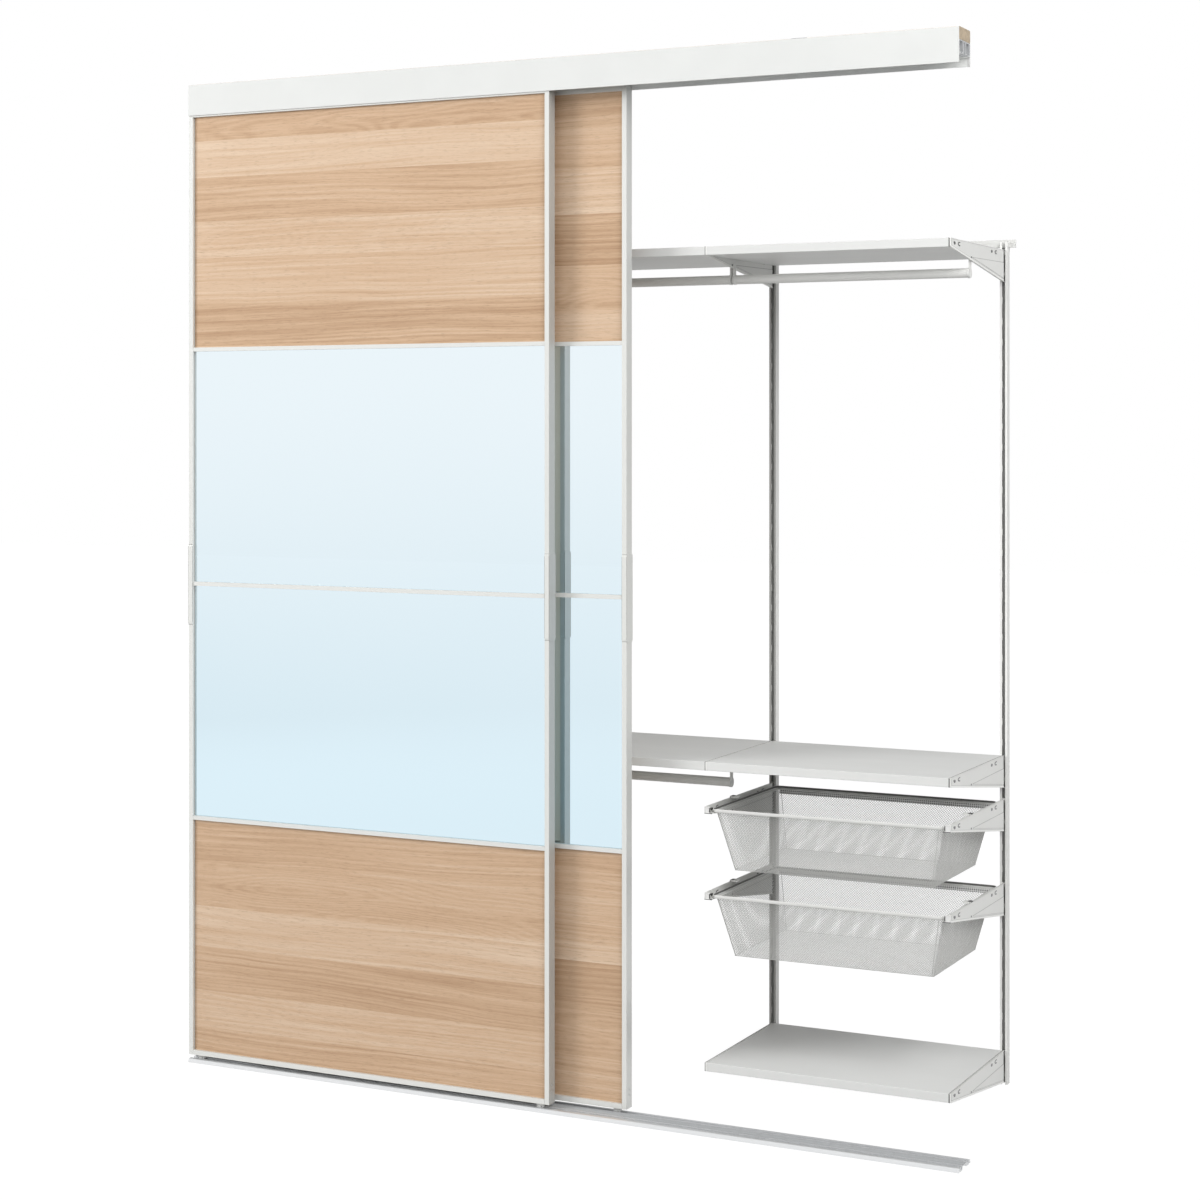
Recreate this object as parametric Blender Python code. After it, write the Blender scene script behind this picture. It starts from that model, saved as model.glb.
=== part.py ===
"""Wall-hung closet unit behind a pair of sliding doors, one object for each piece.

Metres. +X runs to the right along the wall, +Y into the wall, +Z up.
Places are worked out as heights above the floor and distances from the wall, with
X = 0 at the middle of the doors' tracks. Everything then hangs from one empty that
brings the middle of the wall rail's back face to the world's origin.
"""

import math

import bmesh
import bpy
from mathutils import Vector

# Fits shared by all pieces
SEAT_GAP = 0.0003
OVERRUN = 0.002
MERGE = 0.001
WELD = 0.00001
SMOOTH_ANGLE = math.radians(30)

# Uprights: C channels with an open slot in front and toothed flanges behind it
UPRIGHT_HEIGHT = 2.0
UPRIGHT_FOOT = 0.044
UPRIGHT_WIDTH = 0.018
UPRIGHT_DEPTH = 0.02
UPRIGHT_WALL = 0.0015
SLOT_WIDTH = 0.0075
FLANGE_DEPTH = 0.006
FLANGE_WALL = 0.0013
SLOT_PITCH = 0.05
TOOTH_HEIGHT = 0.015
TOOTH_DROP = 0.012
WALL_SCREW_RADIUS = 0.0025
WALL_SCREW_PITCH = 0.25
WALL_SCREW_DROP = 0.084
SCREW_SIDES = 6

# Bays
BAY_PITCH = 0.59
RIGHT_UPRIGHT_X = 0.942
BAYS = 3

# Wall rail that the uprights hook over
RAIL_HEIGHT = 0.019
RAIL_RISE = 0.006
RAIL_WALL = 0.002
RAIL_DEPTH = 0.008
RAIL_END = 0.025
HOOK_BRIDGE = 0.004

# Heights of the shelves and baskets, as slot rows counted up from the uprights' feet
TOP_SHELF_DROP = 0.019
MIDDLE_SHELF_ROW = 15
BOTTOM_SHELF_ROW = 1
UPPER_BASKET_ROW = 13
LOWER_BASKET_ROW = 9
BASKET_BRACKET_DROP = 0.0035

# Brackets
BRACKET_LENGTH = 0.412
BRACKET_HEIGHT = 0.076
BRACKET_FRONT = 0.02
BASKET_BRACKET_FRONT = 0.016
BRACKET_WIDTH = 0.005
BRACKET_PLY = 0.0012
BRACKET_RECESS = 0.0006
BRACKET_TOP_RIM = 0.0015
BRACKET_FRONT_RIM = 0.003
BRACKET_LOWER_RIM = 0.0045
BRACKET_CORNER = 0.003
EMBOSS_START = 0.165
EMBOSS_DROP = 0.031
EMBOSS_RISE = 0.0035
HOOK_MARGIN = 0.0002
HOOK_HEIGHT = 0.0095
HOOK_NOSE = 0.008
HOOK_THICKNESS = 0.003
HOOK_REACH = 0.0055
TONGUE_FRONT = 0.024
TONGUE_BACK = 0.063
TONGUE_LENGTH = 0.008
TONGUE_REACH = 0.005
TONGUE_THICKNESS = 0.0015
SIGHT_HOLE_DROP = 0.008
SIGHT_HOLE_RADIUS = 0.0026
HOLE_SIDES = 6

# Shelves: coated boards that lie between the brackets
SHELF_HEIGHT = 0.02
SHELF_EDGE = 0.001

# Clothes rails and the hooks that hold them
ROD_RADIUS = 0.011
ROD_DROP = 0.069
ROD_Y = -0.27
ROD_SIDES = 16
STRAP_WIDTH = 0.024
STRAP_THICKNESS = 0.0025
STRAP_LAP = 0.014
PEG_RADIUS = 0.002
PEG_CLEARANCE = 0.0003
PEG_RISE = 0.008

# Baskets and the ledges that they slide on
RIM_SIDE_GAP = 0.009
RIM_LENGTH = 0.405
RIM_HEIGHT = 0.0085
RIM_WIRE = 0.005
RIM_DROP = 0.005
RIM_CORNER = 0.018
BASKET_HEIGHT = 0.147
BASKET_TOP_INSET = 0.0185
BASKET_SIDE_TAPER = 0.024
BASKET_END_TAPER = 0.0265
BASKET_WALL = 0.0015
BASKET_FRONT_LEAD = 0.002
CORNER_STEPS = 3
LEDGE_LAP = 0.005
LEDGE_THICKNESS = 0.0022
LEDGE_SETBACK = 0.02
CLIP_PLACE = 0.157
CLIP_LENGTH = 0.02
CLIP_RISE = 0.0035
CLIP_REACH = 0.013
CLIP_LIP = 0.0012

# Door set
SET_LENGTH = 2.02
SET_MIDDLE_Y = -0.538
LANE_PITCH = 0.046
DOOR_THICKNESS = 0.029
DOOR_HEIGHT = 2.378
DOOR_OVERLAP = 0.031
REAR_DOOR_REST = 0.1785
FASCIA_RUN_GAP = 0.001
FRAME_FACE = 0.012
DIVIDER_FACE = 0.01
DIVIDER_SETBACK = 0.001
DIVIDER_BACK = 0.007
PANEL_RECESS = 0.008
PANEL_THICKNESS = 0.006
STILE_GROOVE = 0.007
RAIL_GROOVE = 0.004
PROFILE_WALL = 0.0025
PROFILE_WEB = 0.002
PANEL_EDGE = 0.0005

# Door grips
GRIP_HEIGHT = 0.207
GRIP_MIDDLE = 1.207
GRIP_PROUD = 0.0015
GRIP_ROUND = 0.007

# Floor track and rollers
TRACK_HEIGHT = 0.01
TRACK_FLOOR = 0.003
TRACK_SKIN = 0.002
TRACK_EDGE_ROUND = 0.007
TRACK_STRIP_DIP = 0.001
TRACK_STRIP_MARGIN = 0.003
ROLLER_RADIUS = 0.01
ROLLER_WIDTH = 0.006
ROLLER_CHAMFER = 0.001
ROLLER_INSET = 0.03
ROLLER_HEADROOM = 0.0012
ROLLER_SIDES = 12
AXLE_RADIUS = 0.002
AXLE_DROP = 0.0067
EAR_THICKNESS = 0.0015
EAR_RADIUS = 0.004
EAR_LENGTH = 0.016
EAR_SIDE_GAP = 0.0004
EAR_TRACK_GAP = 0.0011
POCKET_MARGIN = 0.002
SCREW_WINDOW_RADIUS = 0.003
SCREW_WINDOW_DEPTH = 0.0015
SCREW_WINDOW_RISE = 0.03
SCREW_WINDOW_STEP = 0.014

# Top track, its batten and fascias, and the door guides in it
TOP_CLEARANCE = 0.014
TOP_TRACK_HEIGHT = 0.028
TOP_TRACK_WALL = 0.0025
TOP_SLOT_WIDTH = 0.012
TOP_LIP = 0.002
BATTEN_THICKNESS = 0.0275
BATTEN_CHAMFER = 0.001
FASCIA_HEIGHT = 0.077
FASCIA_THICKNESS = 0.002
FASCIA_LAP = 0.008
FASCIA_HOOK = 0.008
FASCIA_HOOK_THICKNESS = 0.0015
GUIDE_LENGTH = 0.03
GUIDE_INSET = 0.05
GUIDE_RISE = 0.0075
GUIDE_SIDE_GAP = 0.0005
GUIDE_TRAVEL = 0.008
STEM_LENGTH = 0.02
STEM_WIDTH = 0.008
STEM_DEPTH = 0.028
HOUSING_WALL = 0.002

COLOURS = {
    "white_enamel": ((0.86, 0.86, 0.84), 0.38, 0.0),
    "white_board": ((0.87, 0.87, 0.86), 0.5, 0.0),
    "white_plastic": ((0.84, 0.84, 0.83), 0.45, 0.0),
    "satin_aluminium": ((0.80, 0.82, 0.81), 0.32, 0.9),
    "floor_aluminium": ((0.78, 0.79, 0.78), 0.35, 0.9),
    "fascia_enamel": ((0.83, 0.83, 0.82), 0.4, 0.0),
    "pine": ((0.55, 0.46, 0.36), 0.6, 0.0),
    "oak": ((0.62, 0.42, 0.26), 0.5, 0.0),
    "mirror_glass": ((0.9, 0.93, 0.95), 0.02, 1.0),
    "grey_nylon": ((0.30, 0.31, 0.31), 0.5, 0.0),
}

# Places worked out from the sizes above
UPRIGHT_TOP = UPRIGHT_FOOT + UPRIGHT_HEIGHT
SLOT_GRID_TOP = UPRIGHT_TOP - TOP_SHELF_DROP
TOP_ROW = int((UPRIGHT_HEIGHT - TOP_SHELF_DROP) / SLOT_PITCH)
TOOTH_BACK = FLANGE_DEPTH - UPRIGHT_DEPTH
BRACKET_FRONT_Y = -UPRIGHT_DEPTH - BRACKET_LENGTH
RAIL_TOP = UPRIGHT_TOP + RAIL_RISE
RAIL_BOTTOM = RAIL_TOP - RAIL_HEIGHT
MOUNT_HEIGHT = (RAIL_TOP + RAIL_BOTTOM) / 2
UPRIGHT_X = [RIGHT_UPRIGHT_X - BAY_PITCH * (BAYS - n) for n in range(BAYS + 1)]

DOOR_WIDTH = (SET_LENGTH + DOOR_OVERLAP) / 2
AXLE_HEIGHT = TRACK_FLOOR + SEAT_GAP + ROLLER_RADIUS
DOOR_BOTTOM = AXLE_HEIGHT + AXLE_DROP
DOOR_TOP = DOOR_BOTTOM + DOOR_HEIGHT
TRACK_WIDTH = LANE_PITCH + DOOR_THICKNESS + 2 * FASCIA_RUN_GAP
TOP_TRACK_BOTTOM = DOOR_TOP + TOP_CLEARANCE
TOP_TRACK_TOP = TOP_TRACK_BOTTOM + TOP_TRACK_HEIGHT
FASCIA_BOTTOM = DOOR_TOP - FASCIA_LAP
FASCIA_INNER = TRACK_WIDTH / 2 + SEAT_GAP
LANES = {"front": SET_MIDDLE_Y - LANE_PITCH / 2, "rear": SET_MIDDLE_Y + LANE_PITCH / 2}
DOOR_LEFT = {"front": -SET_LENGTH / 2, "rear": -SET_LENGTH / 2 + REAR_DOOR_REST}

GROOVE_FRONT = PANEL_RECESS
GROOVE_BACK = PANEL_RECESS + PANEL_THICKNESS + 2 * SEAT_GAP
EAR_INNER = ROLLER_WIDTH / 2 + EAR_SIDE_GAP
EAR_OUTER = EAR_INNER + EAR_THICKNESS
GUIDE_WIDTH = TOP_SLOT_WIDTH - 2 * GUIDE_SIDE_GAP


def row_height(row):
    """Height of a row of slots, whose last one is the top shelf's."""
    return SLOT_GRID_TOP - (TOP_ROW - row) * SLOT_PITCH


# Shapes


def mesh_from(bm):
    """Mesh of a finished bmesh, with its faces turned outwards."""
    bmesh.ops.recalc_face_normals(bm, faces=bm.faces)
    mesh = bpy.data.meshes.new("shape")
    bm.to_mesh(mesh)
    bm.free()
    return mesh


def extruded(outline, along, start, end):
    """Prism of an outline given across the axis, in the order X, Y, Z of what is left."""
    axis = "XYZ".index(along)
    bm = bmesh.new()
    corners = []
    for first, second in outline:
        place = [first, second]
        place.insert(axis, start)
        corners.append(bm.verts.new(place))
    face = bm.faces.new(corners)
    grown = bmesh.ops.extrude_face_region(bm, geom=[face])["geom"]
    move = Vector()
    move[axis] = end - start
    moved = [item for item in grown if isinstance(item, bmesh.types.BMVert)]
    bmesh.ops.translate(bm, vec=move, verts=moved)
    return mesh_from(bm)


def block(x, y, z):
    """Box between the low and high value on each axis."""
    outline = [(x[0], y[0]), (x[1], y[0]), (x[1], y[1]), (x[0], y[1])]
    return extruded(outline, "Z", z[0], z[1])


def circle(centre, radius, sides, start=0.0):
    """Points round a circle, from the start angle."""
    turns = [start + 2 * math.pi * n / sides for n in range(sides)]
    return [(centre[0] + radius * math.cos(t), centre[1] + radius * math.sin(t)) for t in turns]


def rounded(corners, steps=CORNER_STEPS):
    """Outline whose corners, given as (a, b, radius), are turned into arcs."""
    outline = []
    for n, (a, b, radius) in enumerate(corners):
        if not radius:
            outline.append((a, b))
            continue
        here = Vector((a, b))
        before = (Vector(corners[n - 1][:2]) - here).normalized()
        after = (Vector(corners[(n + 1) % len(corners)][:2]) - here).normalized()
        half = before.angle(after) / 2
        start, end = (here + leg * (radius / math.tan(half)) for leg in (before, after))
        centre = here + (before + after).normalized() * (radius / math.sin(half))
        first = start - centre
        swing = first.angle_signed(end - centre)
        for step in range(steps + 1):
            turn = -swing * step / steps
            cos, sin = math.cos(turn), math.sin(turn)
            outline.append(
                (centre.x + cos * first.x - sin * first.y, centre.y + sin * first.x + cos * first.y)
            )
    return outline


def lofted(loops):
    """Closed skin through loops of equal count, capped at the first and the last."""
    bm = bmesh.new()
    rings = [[bm.verts.new(point) for point in loop] for loop in loops]
    for low, high in zip(rings, rings[1:]):
        for n, corner in enumerate(low):
            after = (n + 1) % len(low)
            bm.faces.new((corner, low[after], high[after], high[n]))
    bm.faces.new(rings[0])
    bm.faces.new(rings[-1])
    return mesh_from(bm)


def carved(base, joins=(), cuts=()):
    """Mesh of a base shape with some shapes joined on and others then cut away."""
    scene = bpy.context.scene.collection
    work = bpy.data.objects.new("work", base)
    scene.objects.link(work)
    helpers = []
    for operation, shapes in (("UNION", joins), ("DIFFERENCE", cuts)):
        for shape in shapes:
            helper = bpy.data.objects.new("helper", shape)
            scene.objects.link(helper)
            helpers.append(helper)
            step = work.modifiers.new(operation, "BOOLEAN")
            step.operation = operation
            step.object = helper
    graph = bpy.context.evaluated_depsgraph_get()
    mesh = bpy.data.meshes.new_from_object(work.evaluated_get(graph))
    for helper in [work, *helpers]:
        bpy.data.objects.remove(helper)
    bm = bmesh.new()
    bm.from_mesh(mesh)
    bmesh.ops.remove_doubles(bm, verts=bm.verts, dist=WELD)
    return mesh_from(bm)


def shifted(shape, x=0.0, y=0.0, z=0.0):
    """Copy of a shape moved by some amounts."""
    mesh = shape.copy()
    for vertex in mesh.vertices:
        vertex.co += Vector((x, y, z))
    return mesh


def several(shapes):
    """One mesh that holds separate shapes, to cut or join them in one step."""
    bm = bmesh.new()
    for shape in shapes:
        bm.from_mesh(shape)
    return mesh_from(bm)


# Scene


def clear_scene():
    for item in list(bpy.data.objects):
        bpy.data.objects.remove(item)


def make_materials():
    for name, (colour, roughness, metallic) in COLOURS.items():
        material = bpy.data.materials.new(name)
        material.use_nodes = True
        shader = material.node_tree.nodes["Principled BSDF"]
        shader.inputs["Base Color"].default_value = (*colour, 1.0)
        shader.inputs["Roughness"].default_value = roughness
        shader.inputs["Metallic"].default_value = metallic
        material.diffuse_color = (*colour, 1.0)


def make_frame():
    """Empty whose child pieces are placed by their height above the floor."""
    frame = bpy.data.objects.new("closet_frame", None)
    frame.location.z = -MOUNT_HEIGHT
    bpy.context.scene.collection.objects.link(frame)
    return frame


def make_mover(name, frame, place):
    """Empty on a joint's axis that carries a moving body's pieces."""
    mover = bpy.data.objects.new(name, None)
    mover.parent = frame
    mover.location = place
    bpy.context.scene.collection.objects.link(mover)
    return mover


def add_piece(name, shape, finish, carrier, place=(0.0, 0.0, 0.0)):
    """Named piece with its own material, whose shape is drawn about its place."""
    shape.name = name
    shape.materials.clear()
    shape.materials.append(bpy.data.materials[finish])
    shape.shade_smooth()
    shape.set_sharp_from_angle(angle=SMOOTH_ANGLE)
    piece = bpy.data.objects.new(name, shape)
    piece.parent = carrier
    piece.location = place
    bpy.context.scene.collection.objects.link(piece)
    return piece


# Wall rail and uprights


def wall_rail_shape():
    """J section: flat back on the wall, short web, upstand that the uprights hook over."""
    upstand_top = UPRIGHT_TOP - HOOK_BRIDGE - SEAT_GAP
    outline = [
        (0.0, RAIL_BOTTOM),
        (0.0, RAIL_TOP),
        (-RAIL_WALL, RAIL_TOP),
        (-RAIL_WALL, RAIL_BOTTOM + RAIL_WALL),
        (RAIL_WALL - RAIL_DEPTH, RAIL_BOTTOM + RAIL_WALL),
        (RAIL_WALL - RAIL_DEPTH, upstand_top),
        (-RAIL_DEPTH, upstand_top),
        (-RAIL_DEPTH, RAIL_BOTTOM),
    ]
    body = extruded(outline, "X", UPRIGHT_X[0] - RAIL_END, UPRIGHT_X[-1] + RAIL_END)
    holes = []
    for left, right in zip(UPRIGHT_X, UPRIGHT_X[1:]):
        centre = ((left + right) / 2, (RAIL_TOP + upstand_top) / 2)
        ring = circle(centre, WALL_SCREW_RADIUS, SCREW_SIDES)
        holes.append(extruded(ring, "Y", -RAIL_WALL - OVERRUN, OVERRUN))
    return carved(body, cuts=[several(holes)])


def upright_section():
    """Plan of the C channel, from the left of its front slot round to the right."""
    half, slot = UPRIGHT_WIDTH / 2, SLOT_WIDTH / 2
    lip_back = UPRIGHT_WALL - UPRIGHT_DEPTH
    left = [
        (-slot, -UPRIGHT_DEPTH),
        (-slot, TOOTH_BACK),
        (-slot - FLANGE_WALL, TOOTH_BACK),
        (-slot - FLANGE_WALL, lip_back),
        (UPRIGHT_WALL - half, lip_back),
        (UPRIGHT_WALL - half, -UPRIGHT_WALL),
    ]
    outside = [(half, -UPRIGHT_DEPTH), (half, 0.0), (-half, 0.0), (-half, -UPRIGHT_DEPTH)]
    inside = [(-x, y) for x, y in reversed(left)]
    return left + inside + outside


def tooth_windows():
    """Gaps between the teeth, cut through both flanges but not the front lips."""
    reach = SLOT_WIDTH / 2 + FLANGE_WALL + MERGE
    windows = []
    for row in range(-1, TOP_ROW + 1):
        low = row_height(row) - TOOTH_DROP
        high = low + SLOT_PITCH - TOOTH_HEIGHT
        depth = (UPRIGHT_WALL - UPRIGHT_DEPTH, TOOTH_BACK + MERGE)
        windows.append(block((-reach, reach), depth, (low, high)))
    return several(windows)


def rail_notch():
    """What is cut from an upright's top so that a tooth on each side hooks over the rail."""
    half = UPRIGHT_WIDTH / 2 + OVERRUN
    front = -RAIL_DEPTH - SEAT_GAP
    upstand_back = RAIL_WALL - RAIL_DEPTH + SEAT_GAP
    plate_front = -RAIL_WALL - SEAT_GAP
    web_top = RAIL_BOTTOM + RAIL_WALL + SEAT_GAP
    bridge = UPRIGHT_TOP - HOOK_BRIDGE
    outline = [
        (OVERRUN, RAIL_BOTTOM - SEAT_GAP),
        (front, RAIL_BOTTOM - SEAT_GAP),
        (front, bridge),
        (upstand_back, bridge),
        (upstand_back, web_top),
        (plate_front, web_top),
        (plate_front, UPRIGHT_TOP + OVERRUN),
        (OVERRUN, UPRIGHT_TOP + OVERRUN),
    ]
    return extruded(outline, "X", -half, half)


def wall_screw_holes():
    """Holes in the channel's back for the screws into the wall."""
    count = int((UPRIGHT_HEIGHT - WALL_SCREW_DROP) / WALL_SCREW_PITCH) + 1
    holes = []
    for n in range(count):
        height = SLOT_GRID_TOP - WALL_SCREW_DROP - n * WALL_SCREW_PITCH
        ring = circle((0.0, height), WALL_SCREW_RADIUS, SCREW_SIDES)
        holes.append(extruded(ring, "Y", -UPRIGHT_WALL - OVERRUN, OVERRUN))
    return several(holes)


def upright_shape(brackets=()):
    """Slotted upright. Brackets that belong to it are joined at their seats."""
    body = extruded(upright_section(), "Z", UPRIGHT_FOOT, UPRIGHT_TOP)
    cut = carved(body, cuts=[tooth_windows(), rail_notch(), wall_screw_holes()])
    return carved(cut, joins=brackets) if brackets else cut


# Brackets


def lower_edge(front):
    """Slope of a bracket's lower edge, as height lost for each unit towards the wall."""
    return (BRACKET_HEIGHT - front) / (BRACKET_LENGTH - SEAT_GAP)


def bracket_recess(front, side):
    """Shallow dip in one face that leaves the hem and the pressed triangle raised."""
    slope = lower_edge(front)
    ahead = BRACKET_FRONT_Y + BRACKET_FRONT_RIM
    behind = -UPRIGHT_DEPTH - SEAT_GAP - BRACKET_FRONT_RIM
    apex = BRACKET_FRONT_Y + EMBOSS_START
    inner = behind - BRACKET_FRONT_RIM
    hem, rise = BRACKET_LOWER_RIM, BRACKET_LOWER_RIM + EMBOSS_RISE

    def above(y, height):
        return (y, height - front - slope * (y - BRACKET_FRONT_Y))

    outline = [
        (ahead, -BRACKET_TOP_RIM),
        above(ahead, hem),
        above(behind, hem),
        (behind, -EMBOSS_DROP - BRACKET_FRONT_RIM),
        (inner, -EMBOSS_DROP - BRACKET_FRONT_RIM),
        above(inner, rise),
        above(apex, rise),
        (inner, -EMBOSS_DROP),
        (behind, -EMBOSS_DROP),
        (behind, -BRACKET_TOP_RIM),
    ]
    face = side * BRACKET_WIDTH / 2
    return extruded(outline, "X", face - side * BRACKET_RECESS, face + side * OVERRUN)


def hook_outline(foot, catch, margin):
    """Side view of a hook, from its foot on the tooth over its nose to its top."""
    low, near = foot + margin, catch + margin
    far, high = catch + HOOK_THICKNESS - margin, foot + HOOK_HEIGHT - margin
    nose = foot - HOOK_NOSE + margin
    return [(near, low), (near, nose), (far, nose), (far, high)]


def hook_places(drop, sink):
    """Height of both hooks' feet, lower one first, and how far back they catch."""
    feet = [drop - TOOTH_DROP - step * SLOT_PITCH + sink for step in (1, 0)]
    return feet, TOOTH_BACK + sink


def bracket_ears(drop, sink):
    """Outer parts of the hooks, which spring apart behind the slot and sit on the teeth."""
    lip_back = UPRIGHT_WALL - UPRIGHT_DEPTH + SEAT_GAP
    feet, catch = hook_places(drop, sink)
    ears = []
    for foot in feet:
        outline = [(lip_back, foot), *hook_outline(foot, catch, 0.0), (lip_back, foot + HOOK_HEIGHT)]
        ears.append(extruded(outline, "X", -HOOK_REACH, HOOK_REACH))
    return ears


def bracket_hollow(front):
    """Room between the two plies, open at the top and at the back."""
    slope = lower_edge(front)
    ahead, behind = BRACKET_FRONT_Y + BRACKET_FRONT_RIM, 0.0
    low = [BRACKET_LOWER_RIM - front - slope * (y - BRACKET_FRONT_Y) for y in (ahead, behind)]
    outline = [(ahead, OVERRUN), (ahead, low[0]), (behind, low[1]), (behind, OVERRUN)]
    half = BRACKET_WIDTH / 2 - BRACKET_PLY
    return extruded(outline, "X", -half, half)


def bracket_tongues(sides):
    """Short ledges bent out of the plies, which the shelves rest on."""
    top = -SHELF_HEIGHT - SEAT_GAP
    face = BRACKET_WIDTH / 2
    tongues = []
    starts = (BRACKET_FRONT_Y + TONGUE_FRONT, -UPRIGHT_DEPTH - TONGUE_BACK)
    for side in sides:
        ends = sorted((side * (face - MERGE), side * (face + TONGUE_REACH)))
        for start in starts:
            reach = (start - TONGUE_LENGTH / 2, start + TONGUE_LENGTH / 2)
            tongues.append(block(ends, reach, (top - TONGUE_THICKNESS, top)))
    return tongues


def bracket_holes(pegs):
    """Holes over the tongues and, where a clothes rail hangs, its peg hole."""
    ends = (BRACKET_FRONT_Y + TONGUE_FRONT, -UPRIGHT_DEPTH - TONGUE_BACK)
    centres = [(end, -SIGHT_HOLE_DROP) for end in ends]
    radii = [SIGHT_HOLE_RADIUS] * len(centres)
    if pegs:
        centres.append((ROD_Y, peg_drop(BRACKET_FRONT)))
        radii.append(PEG_RADIUS + PEG_CLEARANCE)
    holes = []
    for centre, radius in zip(centres, radii):
        ring = circle(centre, radius, HOLE_SIDES)
        holes.append(extruded(ring, "X", -BRACKET_WIDTH, BRACKET_WIDTH))
    return several(holes)


def peg_drop(front):
    """Height of a clothes rail's peg, from the bracket's top."""
    return PEG_RISE - front - lower_edge(front) * (ROD_Y - BRACKET_FRONT_Y)


def bracket_shape(front, tongues=(-1, 1), pegs=False, drop=0.0, runner=0):
    """Folded bracket drawn with X = 0 at its own middle and Z = 0 at its top edge."""
    back = -UPRIGHT_DEPTH - SEAT_GAP
    feet, catch = hook_places(drop, SEAT_GAP)
    corners = [
        (back, 0.0, 0.0),
        (BRACKET_FRONT_Y, 0.0, BRACKET_TOP_RIM),
        (BRACKET_FRONT_Y, -front, BRACKET_CORNER),
        (back, -BRACKET_HEIGHT, 0.0),
    ]
    for foot in feet:
        hook = hook_outline(foot, catch, HOOK_MARGIN)
        path = [(back, hook[0][1]), *hook, (back, hook[-1][1])]
        corners += [(y, z, 0.0) for y, z in path]
    half = BRACKET_WIDTH / 2
    plate = extruded(rounded(corners), "X", -half, half)
    dipped = carved(plate, cuts=[bracket_recess(front, -1), bracket_recess(front, 1)])
    joins = bracket_ears(drop, SEAT_GAP)
    joins += basket_runner(runner) if runner else bracket_tongues(tongues)
    return carved(dipped, joins=joins, cuts=[bracket_hollow(front), bracket_holes(pegs)])


def basket_runner(side):
    """Ledge along a basket bracket and the clip that keeps the rim down."""
    half = BRACKET_WIDTH / 2
    ledge = sorted((side * (half - MERGE), side * (half + RIM_SIDE_GAP + LEDGE_LAP)))
    length = (BRACKET_FRONT_Y + MERGE, -UPRIGHT_DEPTH - LEDGE_SETBACK)
    foot = -RIM_DROP - RIM_HEIGHT - SEAT_GAP
    cap = sorted((-side * half, side * (half + CLIP_REACH)))
    middle = BRACKET_FRONT_Y + CLIP_PLACE
    reach = (middle - CLIP_LENGTH / 2, middle + CLIP_LENGTH / 2)
    return [
        block(ledge, length, (foot - LEDGE_THICKNESS, foot)),
        block(cap, reach, (-CLIP_LIP, CLIP_RISE)),
    ]


# Shelves


def shelf_shape():
    """Board drawn with X = 0 at its middle and Z = 0 at its top."""
    half = (BAY_PITCH - BRACKET_WIDTH) / 2 - SEAT_GAP
    front, back = BRACKET_FRONT_Y, -UPRIGHT_DEPTH - SEAT_GAP
    corners = [
        (front, 0.0, SHELF_EDGE),
        (front, -SHELF_HEIGHT, SHELF_EDGE),
        (back, -SHELF_HEIGHT, SHELF_EDGE),
        (back, 0.0, SHELF_EDGE),
    ]
    return extruded(rounded(corners, 2), "X", -half, half)


# Clothes rails


def clothes_rail_shape():
    """Rod with a hanging plate at each end, Z = 0 at the shelf's top."""
    face = (BAY_PITCH - BRACKET_WIDTH) / 2 - SEAT_GAP
    rod = circle((ROD_Y, -ROD_DROP), ROD_RADIUS, ROD_SIDES)
    body = extruded(rod, "X", -face + MERGE / 2, face - MERGE / 2)
    strap_top = peg_drop(BRACKET_FRONT) - PEG_RISE + STRAP_LAP
    half = STRAP_WIDTH / 2
    strap = rounded(
        [
            (ROD_Y - half, strap_top, PEG_RADIUS),
            (ROD_Y - half, -ROD_DROP - half, half - MERGE),
            (ROD_Y + half, -ROD_DROP - half, half - MERGE),
            (ROD_Y + half, strap_top, PEG_RADIUS),
        ]
    )
    peg = circle((ROD_Y, peg_drop(BRACKET_FRONT)), PEG_RADIUS, HOLE_SIDES)
    joins = []
    for side in (-1, 1):
        outer = side * face
        joins.append(extruded(strap, "X", outer, outer - side * STRAP_THICKNESS))
        reach = outer + side * (SEAT_GAP + BRACKET_WIDTH / 2 - SEAT_GAP / 2)
        joins.append(extruded(peg, "X", outer - side * MERGE, reach))
    return carved(body, joins=joins)


# Baskets


def rounded_rectangle(half_x, front, back, radius, height):
    """Level loop of points for the baskets."""
    corners = [
        (-half_x, front, radius),
        (half_x, front, radius),
        (half_x, back, radius),
        (-half_x, back, radius),
    ]
    return [(x, y, height) for x, y in rounded(corners)]


def basket_loop(inset, height, side=0.0, end=0.0):
    """Loop inside the rim's outline, drawn in further by the walls' taper."""
    half = (BAY_PITCH - BRACKET_WIDTH) / 2 - RIM_SIDE_GAP
    front = BRACKET_FRONT_Y + BASKET_FRONT_LEAD
    return rounded_rectangle(
        half - inset - side,
        front + inset + end,
        front + RIM_LENGTH - inset - end,
        RIM_CORNER - inset / 2,
        height,
    )


def basket_shape():
    """Tapered tray under a deep wire rim, Z = 0 at the rim's top."""
    inset, wall = BASKET_TOP_INSET, BASKET_WALL
    taper = {"side": BASKET_SIDE_TAPER, "end": BASKET_END_TAPER}
    flange = -RIM_HEIGHT + wall
    return lofted(
        [
            basket_loop(inset, -BASKET_HEIGHT, **taper),
            basket_loop(inset, -RIM_HEIGHT),
            basket_loop(0.0, -RIM_HEIGHT),
            basket_loop(0.0, 0.0),
            basket_loop(RIM_WIRE, 0.0),
            basket_loop(RIM_WIRE, flange),
            basket_loop(inset + wall, flange),
            basket_loop(inset + wall, wall - BASKET_HEIGHT, **taper),
        ]
    )


# Doors


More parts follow.
